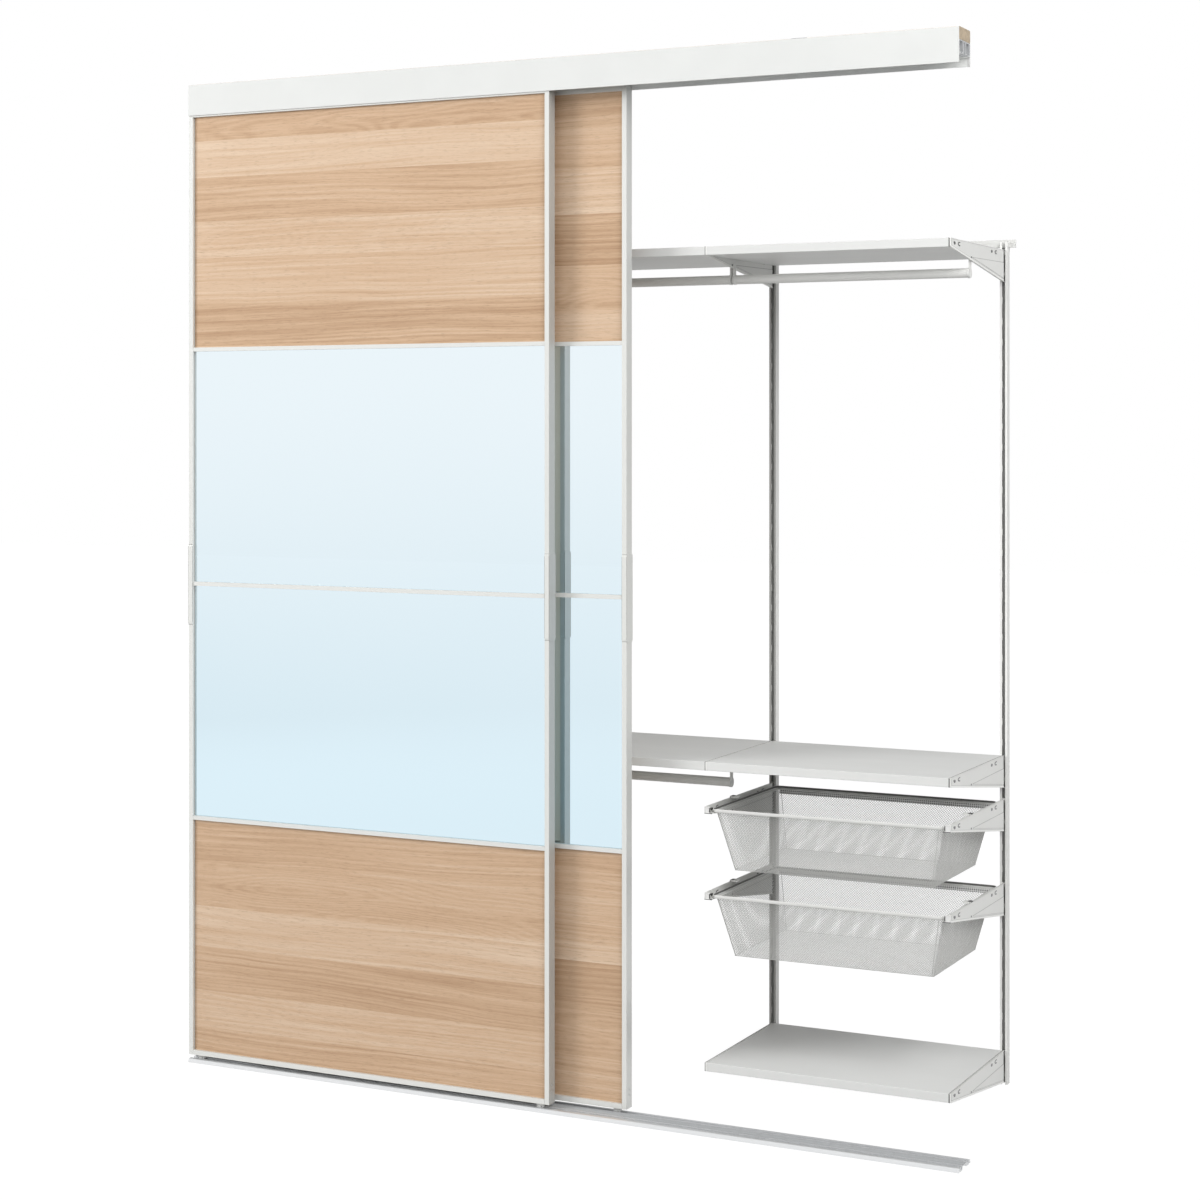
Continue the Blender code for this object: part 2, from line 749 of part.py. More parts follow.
def stile_section():
    """Plan of a left stile: X = 0 at its outer side, Y = 0 at its front."""
    void_front = GROOVE_BACK + PROFILE_WEB
    void_back = DOOR_THICKNESS - PROFILE_WALL
    groove = FRAME_FACE - STILE_GROOVE
    return [
        (0.0, 0.0),
        (FRAME_FACE, 0.0),
        (FRAME_FACE, GROOVE_FRONT),
        (groove, GROOVE_FRONT),
        (groove, GROOVE_BACK),
        (FRAME_FACE, GROOVE_BACK),
        (FRAME_FACE, void_front),
        (PROFILE_WALL, void_front),
        (PROFILE_WALL, void_back),
        (FRAME_FACE, void_back),
        (FRAME_FACE, DOOR_THICKNESS),
        (0.0, DOOR_THICKNESS),
    ]


def grip_shape():
    """Pull that wraps a left stile's outer side and both of its faces."""
    front, back = -GRIP_PROUD, DOOR_THICKNESS + GRIP_PROUD
    low, high = GRIP_MIDDLE - GRIP_HEIGHT / 2, GRIP_MIDDLE + GRIP_HEIGHT / 2
    corners = [
        (front, low, GRIP_ROUND),
        (back, low, GRIP_ROUND),
        (back, high, GRIP_ROUND),
        (front, high, GRIP_ROUND),
    ]
    wrap = extruded(rounded(corners), "X", -GRIP_PROUD, FRAME_FACE)
    inside = block(
        (PROFILE_WALL / 2, FRAME_FACE + OVERRUN),
        (PROFILE_WEB / 2, DOOR_THICKNESS - PROFILE_WEB / 2),
        (low - OVERRUN, high + OVERRUN),
    )
    return carved(wrap, cuts=[inside])


def stile_shape():
    """Left stile with its grip and the windows that reach the rollers' screws."""
    windows = []
    for step in (0, 1):
        centre = (DOOR_THICKNESS / 2, DOOR_BOTTOM + SCREW_WINDOW_RISE + step * SCREW_WINDOW_STEP)
        ring = circle(centre, SCREW_WINDOW_RADIUS, HOLE_SIDES)
        windows.append(extruded(ring, "X", -OVERRUN, SCREW_WINDOW_DEPTH))
    body = extruded(stile_section(), "Z", DOOR_BOTTOM, DOOR_TOP)
    return carved(body, joins=[grip_shape()], cuts=[several(windows)])


def mirrored(shape):
    """The same shape for the right side of a door."""
    mesh = shape.copy()
    for vertex in mesh.vertices:
        vertex.co.x *= -1
    mesh.flip_normals()
    return mesh


def rail_ends():
    """Where the rails and dividers run, between the stiles' inner sides."""
    return FRAME_FACE + SEAT_GAP, DOOR_WIDTH - FRAME_FACE - SEAT_GAP


def top_rail_shape():
    """Top rail with a fixed guide at its left and a sprung guide's housing at its right."""
    low = DOOR_TOP - FRAME_FACE
    outline = [
        (0.0, low),
        (GROOVE_FRONT, low),
        (GROOVE_FRONT, low + RAIL_GROOVE),
        (GROOVE_BACK, low + RAIL_GROOVE),
        (GROOVE_BACK, low),
        (DOOR_THICKNESS, low),
        (DOOR_THICKNESS, DOOR_TOP),
        (0.0, DOOR_TOP),
    ]
    body = extruded(outline, "X", *rail_ends())
    middle = DOOR_THICKNESS / 2
    guide_top = TOP_TRACK_BOTTOM + GUIDE_RISE
    fixed = block(
        (GUIDE_INSET - GUIDE_LENGTH / 2, GUIDE_INSET + GUIDE_LENGTH / 2),
        (middle - GUIDE_WIDTH / 2, middle + GUIDE_WIDTH / 2),
        (DOOR_TOP - MERGE, guide_top),
    )
    x, y = stem_span(SEAT_GAP)
    wall = HOUSING_WALL
    floor = DOOR_TOP - STEM_DEPTH - GUIDE_TRAVEL - SEAT_GAP
    housing = block((x[0] - wall, x[1] + wall), (y[0] - wall, y[1] + wall), (floor - wall, low + MERGE))
    pocket = block(x, y, (floor, DOOR_TOP + OVERRUN))
    return carved(body, joins=[fixed, housing], cuts=[pocket])


def stem_span(gap):
    """Width and depth of the sprung guide's stem behind the panel, grown by a gap."""
    centre = DOOR_WIDTH - GUIDE_INSET
    front = GROOVE_BACK + HOUSING_WALL + 2 * SEAT_GAP
    x = (centre - STEM_LENGTH / 2 - gap, centre + STEM_LENGTH / 2 + gap)
    return x, (front - gap + SEAT_GAP, front + STEM_WIDTH + gap + SEAT_GAP)


def sprung_guide_shape():
    """Guide that can be pressed down to lift a door out: head, flange and stem."""
    x, y = stem_span(0.0)
    centre, middle = DOOR_WIDTH - GUIDE_INSET, DOOR_THICKNESS / 2
    length = (centre - GUIDE_LENGTH / 2, centre + GUIDE_LENGTH / 2)
    width = (middle - GUIDE_WIDTH / 2, middle + GUIDE_WIDTH / 2)
    under_hook = TOP_TRACK_BOTTOM - FASCIA_HOOK_THICKNESS - 2 * SEAT_GAP
    flange = (DOOR_TOP + GUIDE_TRAVEL + SEAT_GAP, under_hook)
    head = block(length, width, (flange[0], TOP_TRACK_BOTTOM + GUIDE_RISE))
    foot = block(length, (width[0], y[1]), flange)
    stem = block(x, y, (DOOR_TOP - STEM_DEPTH, flange[0] + MERGE))
    return carved(foot, joins=[head, stem])


def bottom_rail_shape():
    """Bottom rail with a pair of ears at each end for the rollers."""
    high = DOOR_BOTTOM + FRAME_FACE
    roof = AXLE_HEIGHT + ROLLER_RADIUS + ROLLER_HEADROOM
    middle = DOOR_THICKNESS / 2
    pocket = EAR_OUTER + POCKET_MARGIN
    outline = [
        (0.0, DOOR_BOTTOM),
        (middle - pocket, DOOR_BOTTOM),
        (middle - pocket, roof),
        (middle + pocket, roof),
        (middle + pocket, DOOR_BOTTOM),
        (DOOR_THICKNESS, DOOR_BOTTOM),
        (DOOR_THICKNESS, high),
        (GROOVE_BACK, high),
        (GROOVE_BACK, high - RAIL_GROOVE),
        (GROOVE_FRONT, high - RAIL_GROOVE),
        (GROOVE_FRONT, high),
        (0.0, high),
    ]
    body = extruded(outline, "X", *rail_ends())
    ears, bores = [], []
    for centre in roller_places():
        arc = circle((centre, AXLE_HEIGHT), EAR_RADIUS, HOLE_SIDES * 2, math.pi)
        half = EAR_LENGTH / 2
        ear = arc[: HOLE_SIDES + 1] + [(centre + half, roof + MERGE), (centre - half, roof + MERGE)]
        for side in (-1, 1):
            faces = sorted((middle + side * EAR_INNER, middle + side * EAR_OUTER))
            ears.append(extruded(ear, "Y", *faces))
        bore = circle((centre, AXLE_HEIGHT), AXLE_RADIUS + SEAT_GAP, ROLLER_SIDES)
        bores.append(extruded(bore, "Y", middle - pocket, middle + pocket))
    return carved(body, joins=ears, cuts=bores)


def roller_places():
    return ROLLER_INSET, DOOR_WIDTH - ROLLER_INSET


def roller_shape():
    """Wheel turned with its axle, drawn about its own centre."""
    half, end = ROLLER_WIDTH / 2, EAR_OUTER + SEAT_GAP
    profile = [
        (AXLE_RADIUS, -end),
        (AXLE_RADIUS, -half),
        (ROLLER_RADIUS - ROLLER_CHAMFER, -half),
        (ROLLER_RADIUS, ROLLER_CHAMFER - half),
        (ROLLER_RADIUS, half - ROLLER_CHAMFER),
        (ROLLER_RADIUS - ROLLER_CHAMFER, half),
        (AXLE_RADIUS, half),
        (AXLE_RADIUS, end),
    ]
    origin = (0.0, 0.0)
    return lofted([[(x, y, z) for x, z in circle(origin, r, ROLLER_SIDES)] for r, y in profile])


def divider_shape(middle):
    """Bar between two panels, with a groove above and below."""
    low, high = middle - DIVIDER_FACE / 2, middle + DIVIDER_FACE / 2
    front, back = DIVIDER_SETBACK, DOOR_THICKNESS - DIVIDER_BACK
    outline = [
        (front, low),
        (GROOVE_FRONT, low),
        (GROOVE_FRONT, low + RAIL_GROOVE),
        (GROOVE_BACK, low + RAIL_GROOVE),
        (GROOVE_BACK, low),
        (back, low),
        (back, high),
        (GROOVE_BACK, high),
        (GROOVE_BACK, high - RAIL_GROOVE),
        (GROOVE_FRONT, high - RAIL_GROOVE),
        (GROOVE_FRONT, high),
        (front, high),
    ]
    return extruded(outline, "X", *rail_ends())


def panel_height():
    """Free height of one of a door's four equal fields."""
    return (DOOR_HEIGHT - 2 * FRAME_FACE - 3 * DIVIDER_FACE) / 4


def panel_shape(low):
    """Board or mirror whose edges stand in the grooves round it."""
    side = FRAME_FACE - STILE_GROOVE + SEAT_GAP
    lap = RAIL_GROOVE - SEAT_GAP
    y = (GROOVE_FRONT + SEAT_GAP, GROOVE_BACK - SEAT_GAP)
    ends = (low - lap, low + panel_height() + lap)
    edge = PANEL_EDGE
    corners = [(side, y[0], edge), (DOOR_WIDTH - side, y[0], edge)]
    corners += [(DOOR_WIDTH - side, y[1], 0.0), (side, y[1], 0.0)]
    return extruded(rounded(corners, 1), "Z", *ends)


def add_door(side, frame):
    """All pieces of one door, on an empty at its lower left front corner."""
    lane, left = LANES[side], DOOR_LEFT[side]
    front = lane - DOOR_THICKNESS / 2
    door = make_mover(f"{side}_door_mover", frame, (left, front, 0.0))
    name = f"{side}_door"
    left_stile = stile_shape()
    add_piece(f"{name}_left_stile", left_stile, "satin_aluminium", door)
    right = mirrored(left_stile)
    add_piece(f"{name}_right_stile", shifted(right, x=DOOR_WIDTH), "satin_aluminium", door)
    add_piece(f"{name}_top_rail", top_rail_shape(), "satin_aluminium", door)
    add_piece(f"{name}_bottom_rail", bottom_rail_shape(), "satin_aluminium", door)
    field = panel_height() + DIVIDER_FACE
    lowest = DOOR_BOTTOM + FRAME_FACE
    for n, part in enumerate(("lower", "middle", "upper")):
        middle = lowest + (n + 1) * field - DIVIDER_FACE / 2
        add_piece(f"{name}_{part}_divider", divider_shape(middle), "satin_aluminium", door)
    fields = (
        ("bottom_panel", "oak"),
        ("lower_mirror", "mirror_glass"),
        ("upper_mirror", "mirror_glass"),
        ("top_panel", "oak"),
    )
    for n, (part, finish) in enumerate(fields):
        add_piece(f"{name}_{part}", panel_shape(lowest + n * field), finish, door)
    guide = make_mover(f"{side}_guide_mover", door, (0.0, 0.0, 0.0))
    add_piece(f"{name}_sprung_guide", sprung_guide_shape(), "grey_nylon", guide)
    for end, x in zip(("left", "right"), roller_places()):
        place = (x, DOOR_THICKNESS / 2, AXLE_HEIGHT)
        roller = make_mover(f"{side}_{end}_roller_mover", door, place)
        add_piece(f"{name}_{end}_roller", roller_shape(), "white_plastic", roller)


# Tracks


def top_track_shape():
    """Extrusion with a lipped channel over each lane and a screw channel between them."""
    low, high = TOP_TRACK_BOTTOM, TOP_TRACK_TOP
    ceiling, lip = high - TOP_TRACK_WALL, low + TOP_LIP
    channel = (TRACK_WIDTH - LANE_PITCH) / 2 - TOP_TRACK_WALL
    slot = TOP_SLOT_WIDTH / 2
    between = LANE_PITCH / 2 - channel - TOP_TRACK_WALL
    lane = [
        (-slot, low),
        (-slot, lip),
        (-channel, lip),
        (-channel, ceiling),
        (channel, ceiling),
        (channel, lip),
        (slot, lip),
        (slot, low),
    ]
    middle = [(-between, low), (-between, ceiling), (between, ceiling), (between, low)]
    outline = [(-TRACK_WIDTH / 2, high), (-TRACK_WIDTH / 2, low)]
    outline += [(y - LANE_PITCH / 2, z) for y, z in lane]
    outline += middle
    outline += [(y + LANE_PITCH / 2, z) for y, z in lane]
    outline += [(TRACK_WIDTH / 2, low), (TRACK_WIDTH / 2, high)]
    return extruded(outline, "X", -SET_LENGTH / 2, SET_LENGTH / 2)


def fascia_shape():
    """Front fascia with its hook under the track's edge, Y = 0 at the tracks' middle."""
    inner, outer = -FASCIA_INNER, -FASCIA_INNER - FASCIA_THICKNESS
    low, high = FASCIA_BOTTOM, FASCIA_BOTTOM + FASCIA_HEIGHT
    hook_top = TOP_TRACK_BOTTOM - SEAT_GAP
    hook_low = hook_top - FASCIA_HOOK_THICKNESS
    corners = [
        (outer, low, FASCIA_THICKNESS / 4),
        (inner, low, 0.0),
        (inner, hook_low, 0.0),
        (inner + FASCIA_HOOK, hook_low, 0.0),
        (inner + FASCIA_HOOK, hook_top, 0.0),
        (inner, hook_top, 0.0),
        (inner, high, 0.0),
        (outer, high, FASCIA_THICKNESS / 4),
    ]
    return extruded(rounded(corners, 2), "X", -SET_LENGTH / 2, SET_LENGTH / 2)


def batten_shape():
    """Timber between the track and the ceiling."""
    half, low = TRACK_WIDTH / 2, TOP_TRACK_TOP + SEAT_GAP
    high = low + BATTEN_THICKNESS
    edge = BATTEN_CHAMFER
    corners = [(-half, low, edge), (half, low, edge), (half, high, edge), (-half, high, edge)]
    return extruded(rounded(corners, 1), "X", -SET_LENGTH / 2, SET_LENGTH / 2)


def floor_track_shape():
    """Low extrusion with a running channel for each lane and hollow lands between."""
    half = FASCIA_INNER + FASCIA_THICKNESS
    run = EAR_OUTER + EAR_TRACK_GAP
    inner, outer = LANE_PITCH / 2 - run, LANE_PITCH / 2 + run
    top, floor, skin = TRACK_HEIGHT, TRACK_FLOOR, TRACK_SKIN
    dip = inner - TRACK_STRIP_MARGIN
    upper = [
        (outer, top, 0.0),
        (outer, floor, 0.0),
        (inner, floor, 0.0),
        (inner, top, 0.0),
        (dip, top, 0.0),
        (dip, top - TRACK_STRIP_DIP, 0.0),
    ]
    under = [
        (inner - skin, 0.0, 0.0),
        (inner - skin, top - TRACK_STRIP_DIP - skin, 0.0),
    ]
    edge = [
        (outer + skin, 0.0, 0.0),
        (outer + skin, top - skin, 0.0),
        (half - TRACK_EDGE_ROUND, top - skin, 0.0),
        (half - skin, 0.0, 0.0),
        (half, 0.0, 0.0),
        (half, top, TRACK_EDGE_ROUND),
    ]
    right = edge + upper
    left = [(-y, z, r) for y, z, r in reversed(right)]
    bottom = [(-y, z, r) for y, z, r in under] + [(y, z, r) for y, z, r in reversed(under)]
    return extruded(rounded(right + left + bottom), "X", -SET_LENGTH / 2, SET_LENGTH / 2)


def add_tracks(frame):
    place = (0.0, SET_MIDDLE_Y, 0.0)
    front = fascia_shape()
    rear = mirrored_in_y(front)
    add_piece("ceiling_batten", batten_shape(), "pine", frame, place)
    add_piece("top_track", top_track_shape(), "satin_aluminium", frame, place)
    add_piece("front_fascia", front, "fascia_enamel", frame, place)
    add_piece("rear_fascia", rear, "fascia_enamel", frame, place)
    add_piece("floor_track", floor_track_shape(), "floor_aluminium", frame, place)


def mirrored_in_y(shape):
    """The same shape facing the wall."""
    mesh = shape.copy()
    for vertex in mesh.vertices:
        vertex.co.y *= -1
    mesh.flip_normals()
    return mesh


# Wall unit


def own_bracket(pegs, tongues, row):
    """Bracket fused to a hidden upright: the same outline, with its hooks sunk into the teeth."""
    half, back = BRACKET_WIDTH / 2, -UPRIGHT_DEPTH - SEAT_GAP
    corners = [
        (BRACKET_FRONT_Y, 0.0, BRACKET_TOP_RIM),
        (BRACKET_FRONT_Y, -BRACKET_FRONT, BRACKET_CORNER),
        (back, -BRACKET_HEIGHT, 0.0),
        (back, 0.0, 0.0),
    ]
    plate = extruded(rounded(corners), "X", -half, half)
    feet, catch = hook_places(0.0, -SEAT_GAP)
    joins = bracket_ears(0.0, -SEAT_GAP) + bracket_tongues(tongues)
    root = (HOOK_MARGIN - half, half - HOOK_MARGIN)
    for foot in feet:
        joins.append(block(root, (back - MERGE, catch + MERGE), (foot + MERGE, foot + HOOK_HEIGHT / 2)))
    cuts = [own_peg_hole()] if pegs else []
    shape = carved(plate, joins=joins, cuts=cuts + [bracket_hollow(BRACKET_FRONT)])
    return shifted(shape, z=row_height(row))


def own_peg_hole():
    """Hole for the clothes rails' pegs in a fused bracket."""
    ring = circle((ROD_Y, peg_drop(BRACKET_FRONT)), PEG_RADIUS + PEG_CLEARANCE, HOLE_SIDES)
    return extruded(ring, "X", -BRACKET_WIDTH, BRACKET_WIDTH)


def add_uprights(frame):
    names = ("left_end", "mid_left", "mid_right", "right_end")
    fused = {
        "left_end": [own_bracket(True, (1,), TOP_ROW)],
        "mid_left": [own_bracket(True, (-1, 1), TOP_ROW), own_bracket(True, (1,), MIDDLE_SHELF_ROW)],
    }
    for name, x in zip(names, UPRIGHT_X):
        shape = upright_shape(fused.get(name, ()))
        add_piece(f"upright_{name}", shape, "white_enamel", frame, (x, 0.0, 0.0))


def add_brackets(frame):
    """The brackets of the two uprights that the open bay stands between."""
    inner, outer = UPRIGHT_X[-2:]
    levels = (
        ("top", TOP_ROW, (-1, 1), True, True),
        ("middle", MIDDLE_SHELF_ROW, (-1, 1), True, False),
        ("bottom", BOTTOM_SHELF_ROW, (1,), False, False),
    )
    for level, row, inner_tongues, inner_pegs, outer_pegs in levels:
        height = row_height(row)
        mid = bracket_shape(BRACKET_FRONT, tongues=inner_tongues, pegs=inner_pegs)
        end = bracket_shape(BRACKET_FRONT, tongues=(-1,), pegs=outer_pegs)
        add_piece(f"{level}_bracket_mid_right", mid, "white_enamel", frame, (inner, 0.0, height))
        add_piece(f"{level}_bracket_right_end", end, "white_enamel", frame, (outer, 0.0, height))
    for level, row in (("upper", UPPER_BASKET_ROW), ("lower", LOWER_BASKET_ROW)):
        height = row_height(row) - BASKET_BRACKET_DROP
        for name, x, side in (("left", inner, 1), ("right", outer, -1)):
            shape = bracket_shape(BASKET_BRACKET_FRONT, drop=BASKET_BRACKET_DROP, runner=side)
            add_piece(f"{level}_basket_bracket_{name}", shape, "white_enamel", frame, (x, 0.0, height))


def bay_middle(n):
    """Middle of a bay between its brackets, counted from the left."""
    return (UPRIGHT_X[n] + UPRIGHT_X[n + 1]) / 2


def add_shelves(frame):
    shelves = (
        ("top_shelf_left", 0, TOP_ROW),
        ("top_shelf_middle", 1, TOP_ROW),
        ("top_shelf_right", 2, TOP_ROW),
        ("middle_shelf_middle", 1, MIDDLE_SHELF_ROW),
        ("middle_shelf_right", 2, MIDDLE_SHELF_ROW),
        ("bottom_shelf_right", 2, BOTTOM_SHELF_ROW),
    )
    for name, bay, row in shelves:
        place = (bay_middle(bay), 0.0, row_height(row))
        add_piece(name, shelf_shape(), "white_board", frame, place)


def add_clothes_rails(frame):
    rails = (
        ("clothes_rail_left", 0, TOP_ROW),
        ("clothes_rail_middle", 1, TOP_ROW),
        ("clothes_rail_right", 2, TOP_ROW),
        ("lower_clothes_rail", 1, MIDDLE_SHELF_ROW),
    )
    for name, bay, row in rails:
        place = (bay_middle(bay), 0.0, row_height(row))
        add_piece(name, clothes_rail_shape(), "white_enamel", frame, place)


def add_baskets(frame):
    for name, row in (("upper", UPPER_BASKET_ROW), ("lower", LOWER_BASKET_ROW)):
        height = row_height(row) - BASKET_BRACKET_DROP - RIM_DROP
        mover = make_mover(f"{name}_basket_mover", frame, (bay_middle(BAYS - 1), 0.0, height))
        add_piece(f"{name}_basket", basket_shape(), "white_enamel", mover)


def main():
    clear_scene()
    make_materials()
    frame = make_frame()
    add_piece("wall_rail", wall_rail_shape(), "white_enamel", frame)
    add_uprights(frame)
    add_brackets(frame)
    add_shelves(frame)
    add_clothes_rails(frame)
    add_baskets(frame)
    add_tracks(frame)
    add_door("front", frame)
    add_door("rear", frame)


main()
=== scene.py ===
"""Looks of the wall mounted closet system: finishes, wire baskets, fittings and studio.

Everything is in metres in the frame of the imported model, whose solids are loaded first.
"""

import math

import bmesh
import bpy
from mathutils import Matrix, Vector


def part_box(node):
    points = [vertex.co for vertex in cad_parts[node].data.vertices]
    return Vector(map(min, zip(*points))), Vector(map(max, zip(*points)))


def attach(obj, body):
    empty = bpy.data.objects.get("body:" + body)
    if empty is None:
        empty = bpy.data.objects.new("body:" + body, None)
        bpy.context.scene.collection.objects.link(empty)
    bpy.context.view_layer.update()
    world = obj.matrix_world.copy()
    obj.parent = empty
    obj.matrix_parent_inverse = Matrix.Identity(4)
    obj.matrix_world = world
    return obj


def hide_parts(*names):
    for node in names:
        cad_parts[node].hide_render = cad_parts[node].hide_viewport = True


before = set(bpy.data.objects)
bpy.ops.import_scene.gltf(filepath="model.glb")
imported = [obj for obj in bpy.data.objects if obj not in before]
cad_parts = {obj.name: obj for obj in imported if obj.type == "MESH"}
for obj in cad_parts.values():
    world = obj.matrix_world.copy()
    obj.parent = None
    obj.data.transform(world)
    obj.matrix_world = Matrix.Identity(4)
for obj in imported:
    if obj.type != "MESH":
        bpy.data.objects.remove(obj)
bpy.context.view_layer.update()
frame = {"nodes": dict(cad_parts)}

bl_info = {
    "name": "Wall Mounted Closet System",
    "version": (1, 0, 0),
    "blender": (4, 5, 0),
    "location": "3D View > Sidebar > Closet",
    "description": "Finishes, baskets, fittings and studio for the closet's solids",
    "category": "Object",
}

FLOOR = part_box("floor_track")[0].z
WALL_UNIT = "wall_unit_and_tracks"
DOORS = ("front", "rear")
DOOR_FIELDS = ("bottom_panel", "lower_mirror", "upper_mirror", "top_panel")

# Rounding of the solids' edges
WELD = 0.00001
STEEL_EDGE = 0.0003
BOARD_EDGE = 0.0004

# Baskets: forms that the boxes of their solids don't give
RIM_HEIGHT = 0.0085
RIM_FLANGE = 0.0015
RIM_CORNER = 0.016
WALL_CORNER = 0.008
WALL_INSET = 0.009
SIDE_TAPER = 0.0325
END_TAPER = 0.036
LOW_CORNER = 0.004
CORNER_COLUMNS = 2
FLOOR_FLATNESS = 0.28
BAND_HEIGHT = 0.0095
BAND_WALL = 0.0006
BAND_END = 0.0045
BAND_DROP = 0.0001
BAND_PITCH = 0.0104

# Clothes rails
ROD_RADIUS = 0.011
ROD_END = 0.001
COLLAR_RADIUS = 0.0119
COLLAR_LENGTH = 0.0035
COLLAR_EDGE = 0.0006
PLATE_WIDTH = 0.024
PLATE_THICKNESS = 0.0025
PLATE_DROP = 0.004
STRAP_HALF = 0.007

# Uprights and wall rail, with their screws
UPRIGHT_WIDTH = 0.018
UPRIGHT_DEPTH = 0.02
UPRIGHT_WALL = 0.0015
TOOTH_DEPTH = 0.006
RAIL_WALL = 0.002
RAIL_SCREW_DROP = 0.0051
WALL_SCREWS = 8
WALL_SCREW_TOP = 1.941
WALL_SCREW_PITCH = 0.25
SCREW_LENGTH = 0.0022

# Brackets, with pins and lugs that are wider than they are high
BRACKET_WIDTH = 0.005
BRACKET_HEIGHT = 0.076
BRACKET_FRONT = 0.02
BASKET_BRACKET_FRONT = 0.016
PIN_FRONT = 0.03
PIN_BACK = 0.067
PIN_STEP = 0.034
PIN_DROP = 0.01
PIN_SINK = 0.0002
PIN_SIZE = (0.006, 0.0036)
PEG_LEAD = 0.012
PEG_DROP = 0.016
PEG_SIZE = (0.0036, 0.0020)
LUG_DEPTHS = (0.0001, 0.0007)
LUG_OUTER = (0.0108, 0.0048)
LUG_INNER = (0.0062, 0.0026)

# Strips of painted shade and highlight along the brackets' pressed creases, hem and slot, and shadow gaps
# beside the shelves
LINE_THICKNESS = 0.0004
CREASE_WIDTH = 0.0016
CREASE_DEEP = 0.004
CREASE_TOP = 0.0015
CREASE_END = 0.003
CREASE_HEM = 0.0045
HEM_FOOT = 0.0006
HEM_GAP = 0.0003
SLOT_SHADE = 0.0055
TRIANGLE_START = 0.165
TRIANGLE_DROP = 0.031
TRIANGLE_RISE = 0.0035
JOINT_FRONT = 0.0030
JOINT_THIN = 0.0013
JOINT_TOP = 0.0007
JOINT_SINK = 0.0003
JOINT_EDGE = 0.0001

# Caps and clips of the basket brackets, and the painted shade beside and under the caps
CAP_REACH = 0.0085
CAP_PROUD = 0.0026
CAP_HEIGHT = 0.0162
CAP_EDGE = 0.0006
CAP_RIM = 0.0013
CAP_RECESS = 0.0011
SHADOW_PROUD = 0.0028
SLIT_WIDTH = 0.0016
SLIT_DROPS = (0.0135, 0.0022)
LIP_REACH = 0.0135
LIP_DROPS = (0.0166, 0.0152)
CLIP_RISE = 0.0035
CLIP_PLACE = 0.157
CLIP_REACH = 0.0042
CLIP_HALF = 0.0088
CLIP_LIFT = 0.0008

# Trim of the tracks
FASCIA_WALL = 0.002
FASCIA_CAP = 0.006
FASCIA_SINK = 0.0003
FASCIA_END = 0.0002
FASCIA_GROWTH = 0.0004
FASCIA_OVERHANG = 0.0003
FASCIA_EDGE = 0.0004
JOINT_CLIP_X = (0.622, 0.66)
JOINT_CLIP_Y = (0.0005, 0.009)
JOINT_CLIP_HEIGHT = 0.0008
STRIP_DROP = 0.0009
STRIP_HALF = 0.0137
STRIP_END = 0.001
STRIP_RIBS = 9
STRIP_RIB = ((0.1, 0.0003), (0.3, 0.0008), (0.7, 0.0008), (0.9, 0.0003))

# Trim of the doors
SIDE_SCREW_RISE = 0.03
SIDE_SCREW_STEP = 0.014
SIDE_SCREW_RADIUS = 0.0026
SIDE_SCREW_LENGTH = 0.0012
SIDE_SCREW_SINK = 0.0029
SIDE_SCREW_RIM = 0.0014
SIDE_SCREW_RECESS = 0.0006
SEAL_WIDTH = 0.0009
SEAL_PROUD = 0.0012
SEAL_END = 0.0045
GRIP_HEIGHT = 0.207
GRIP_MIDDLE = 1.207
GRIP_PROUD = 0.0015
GRIP_ROUND = 0.007
GRIP_END = 0.0026
SEAM_WIDTH = 0.0009
SEAM_DEPTH = 0.0012
SEAM_SINK = 0.0001

# Studio: lamps as name, place, size and the setting of their power
LAMPS = (
    ("soft_key", (-4.6, -5.0, 1.6), 3.2, "key_power"),
    ("soft_fill", (4.2, -3.4, 1.8), 3.0, "fill_power"),
    ("high_fill", (3.0, -1.8, 2.8), 2.0, "top_power"),
)
LAMP_TARGET = (0.1, -0.4, -0.8)
CAMERA_PLACE = (2.5745, -5.498, -0.4335)
CAMERA_TURN = (math.radians(90), 0, math.radians(26.24))
CAMERA_LENS = 71.226
CAMERA_SHIFT = -0.145
FLOOR_WHITE = 1.13
FLOOR_SHARE = 0.88


# Modelling


def deselect():
    if bpy.context.mode != "OBJECT":
        bpy.ops.object.mode_set(mode="OBJECT")
    bpy.ops.object.select_all(action="DESELECT")


def newest(name):
    """The object that an operator has just added, under its own name."""
    piece = bpy.context.view_layer.objects.active
    piece.name = name
    piece.data.name = name
    return piece


def take(piece):
    """Makes a piece the only one selected."""
    deselect()
    piece.select_set(True)
    bpy.context.view_layer.objects.active = piece


def open_edit(piece, kind="FACE", action="DESELECT"):
    take(piece)
    bpy.ops.object.mode_set(mode="EDIT")
    bpy.ops.mesh.select_mode(type=kind)
    bpy.ops.mesh.select_all(action=action)


def close_edit():
    bpy.ops.object.mode_set(mode="OBJECT")


def pick_faces(piece, test):
    """Selects the faces whose middle and normal pass a test, in edit mode."""
    shape = bmesh.from_edit_mesh(piece.data)
    for face in shape.faces:
        face.select_set(test(face.calc_center_median(), face.normal))
    bmesh.update_edit_mesh(piece.data)


def settled(name):
    """The newest object with its place, turn and scale moved into its mesh."""
    piece = newest(name)
    bpy.ops.object.transform_apply(location=True, rotation=True, scale=True)
    return piece


def recess(piece, test, rim, move):
    """Sinks the faces that pass a test, inside a rim."""
    open_edit(piece)
    pick_faces(piece, test)
    bpy.ops.mesh.inset(thickness=rim)
    bpy.ops.mesh.extrude_region_move(TRANSFORM_OT_translate={"value": move})
    close_edit()


def outwards(piece):
    """Turns all faces outwards."""
    open_edit(piece, action="SELECT")
    bpy.ops.mesh.normals_make_consistent(inside=False)
    close_edit()


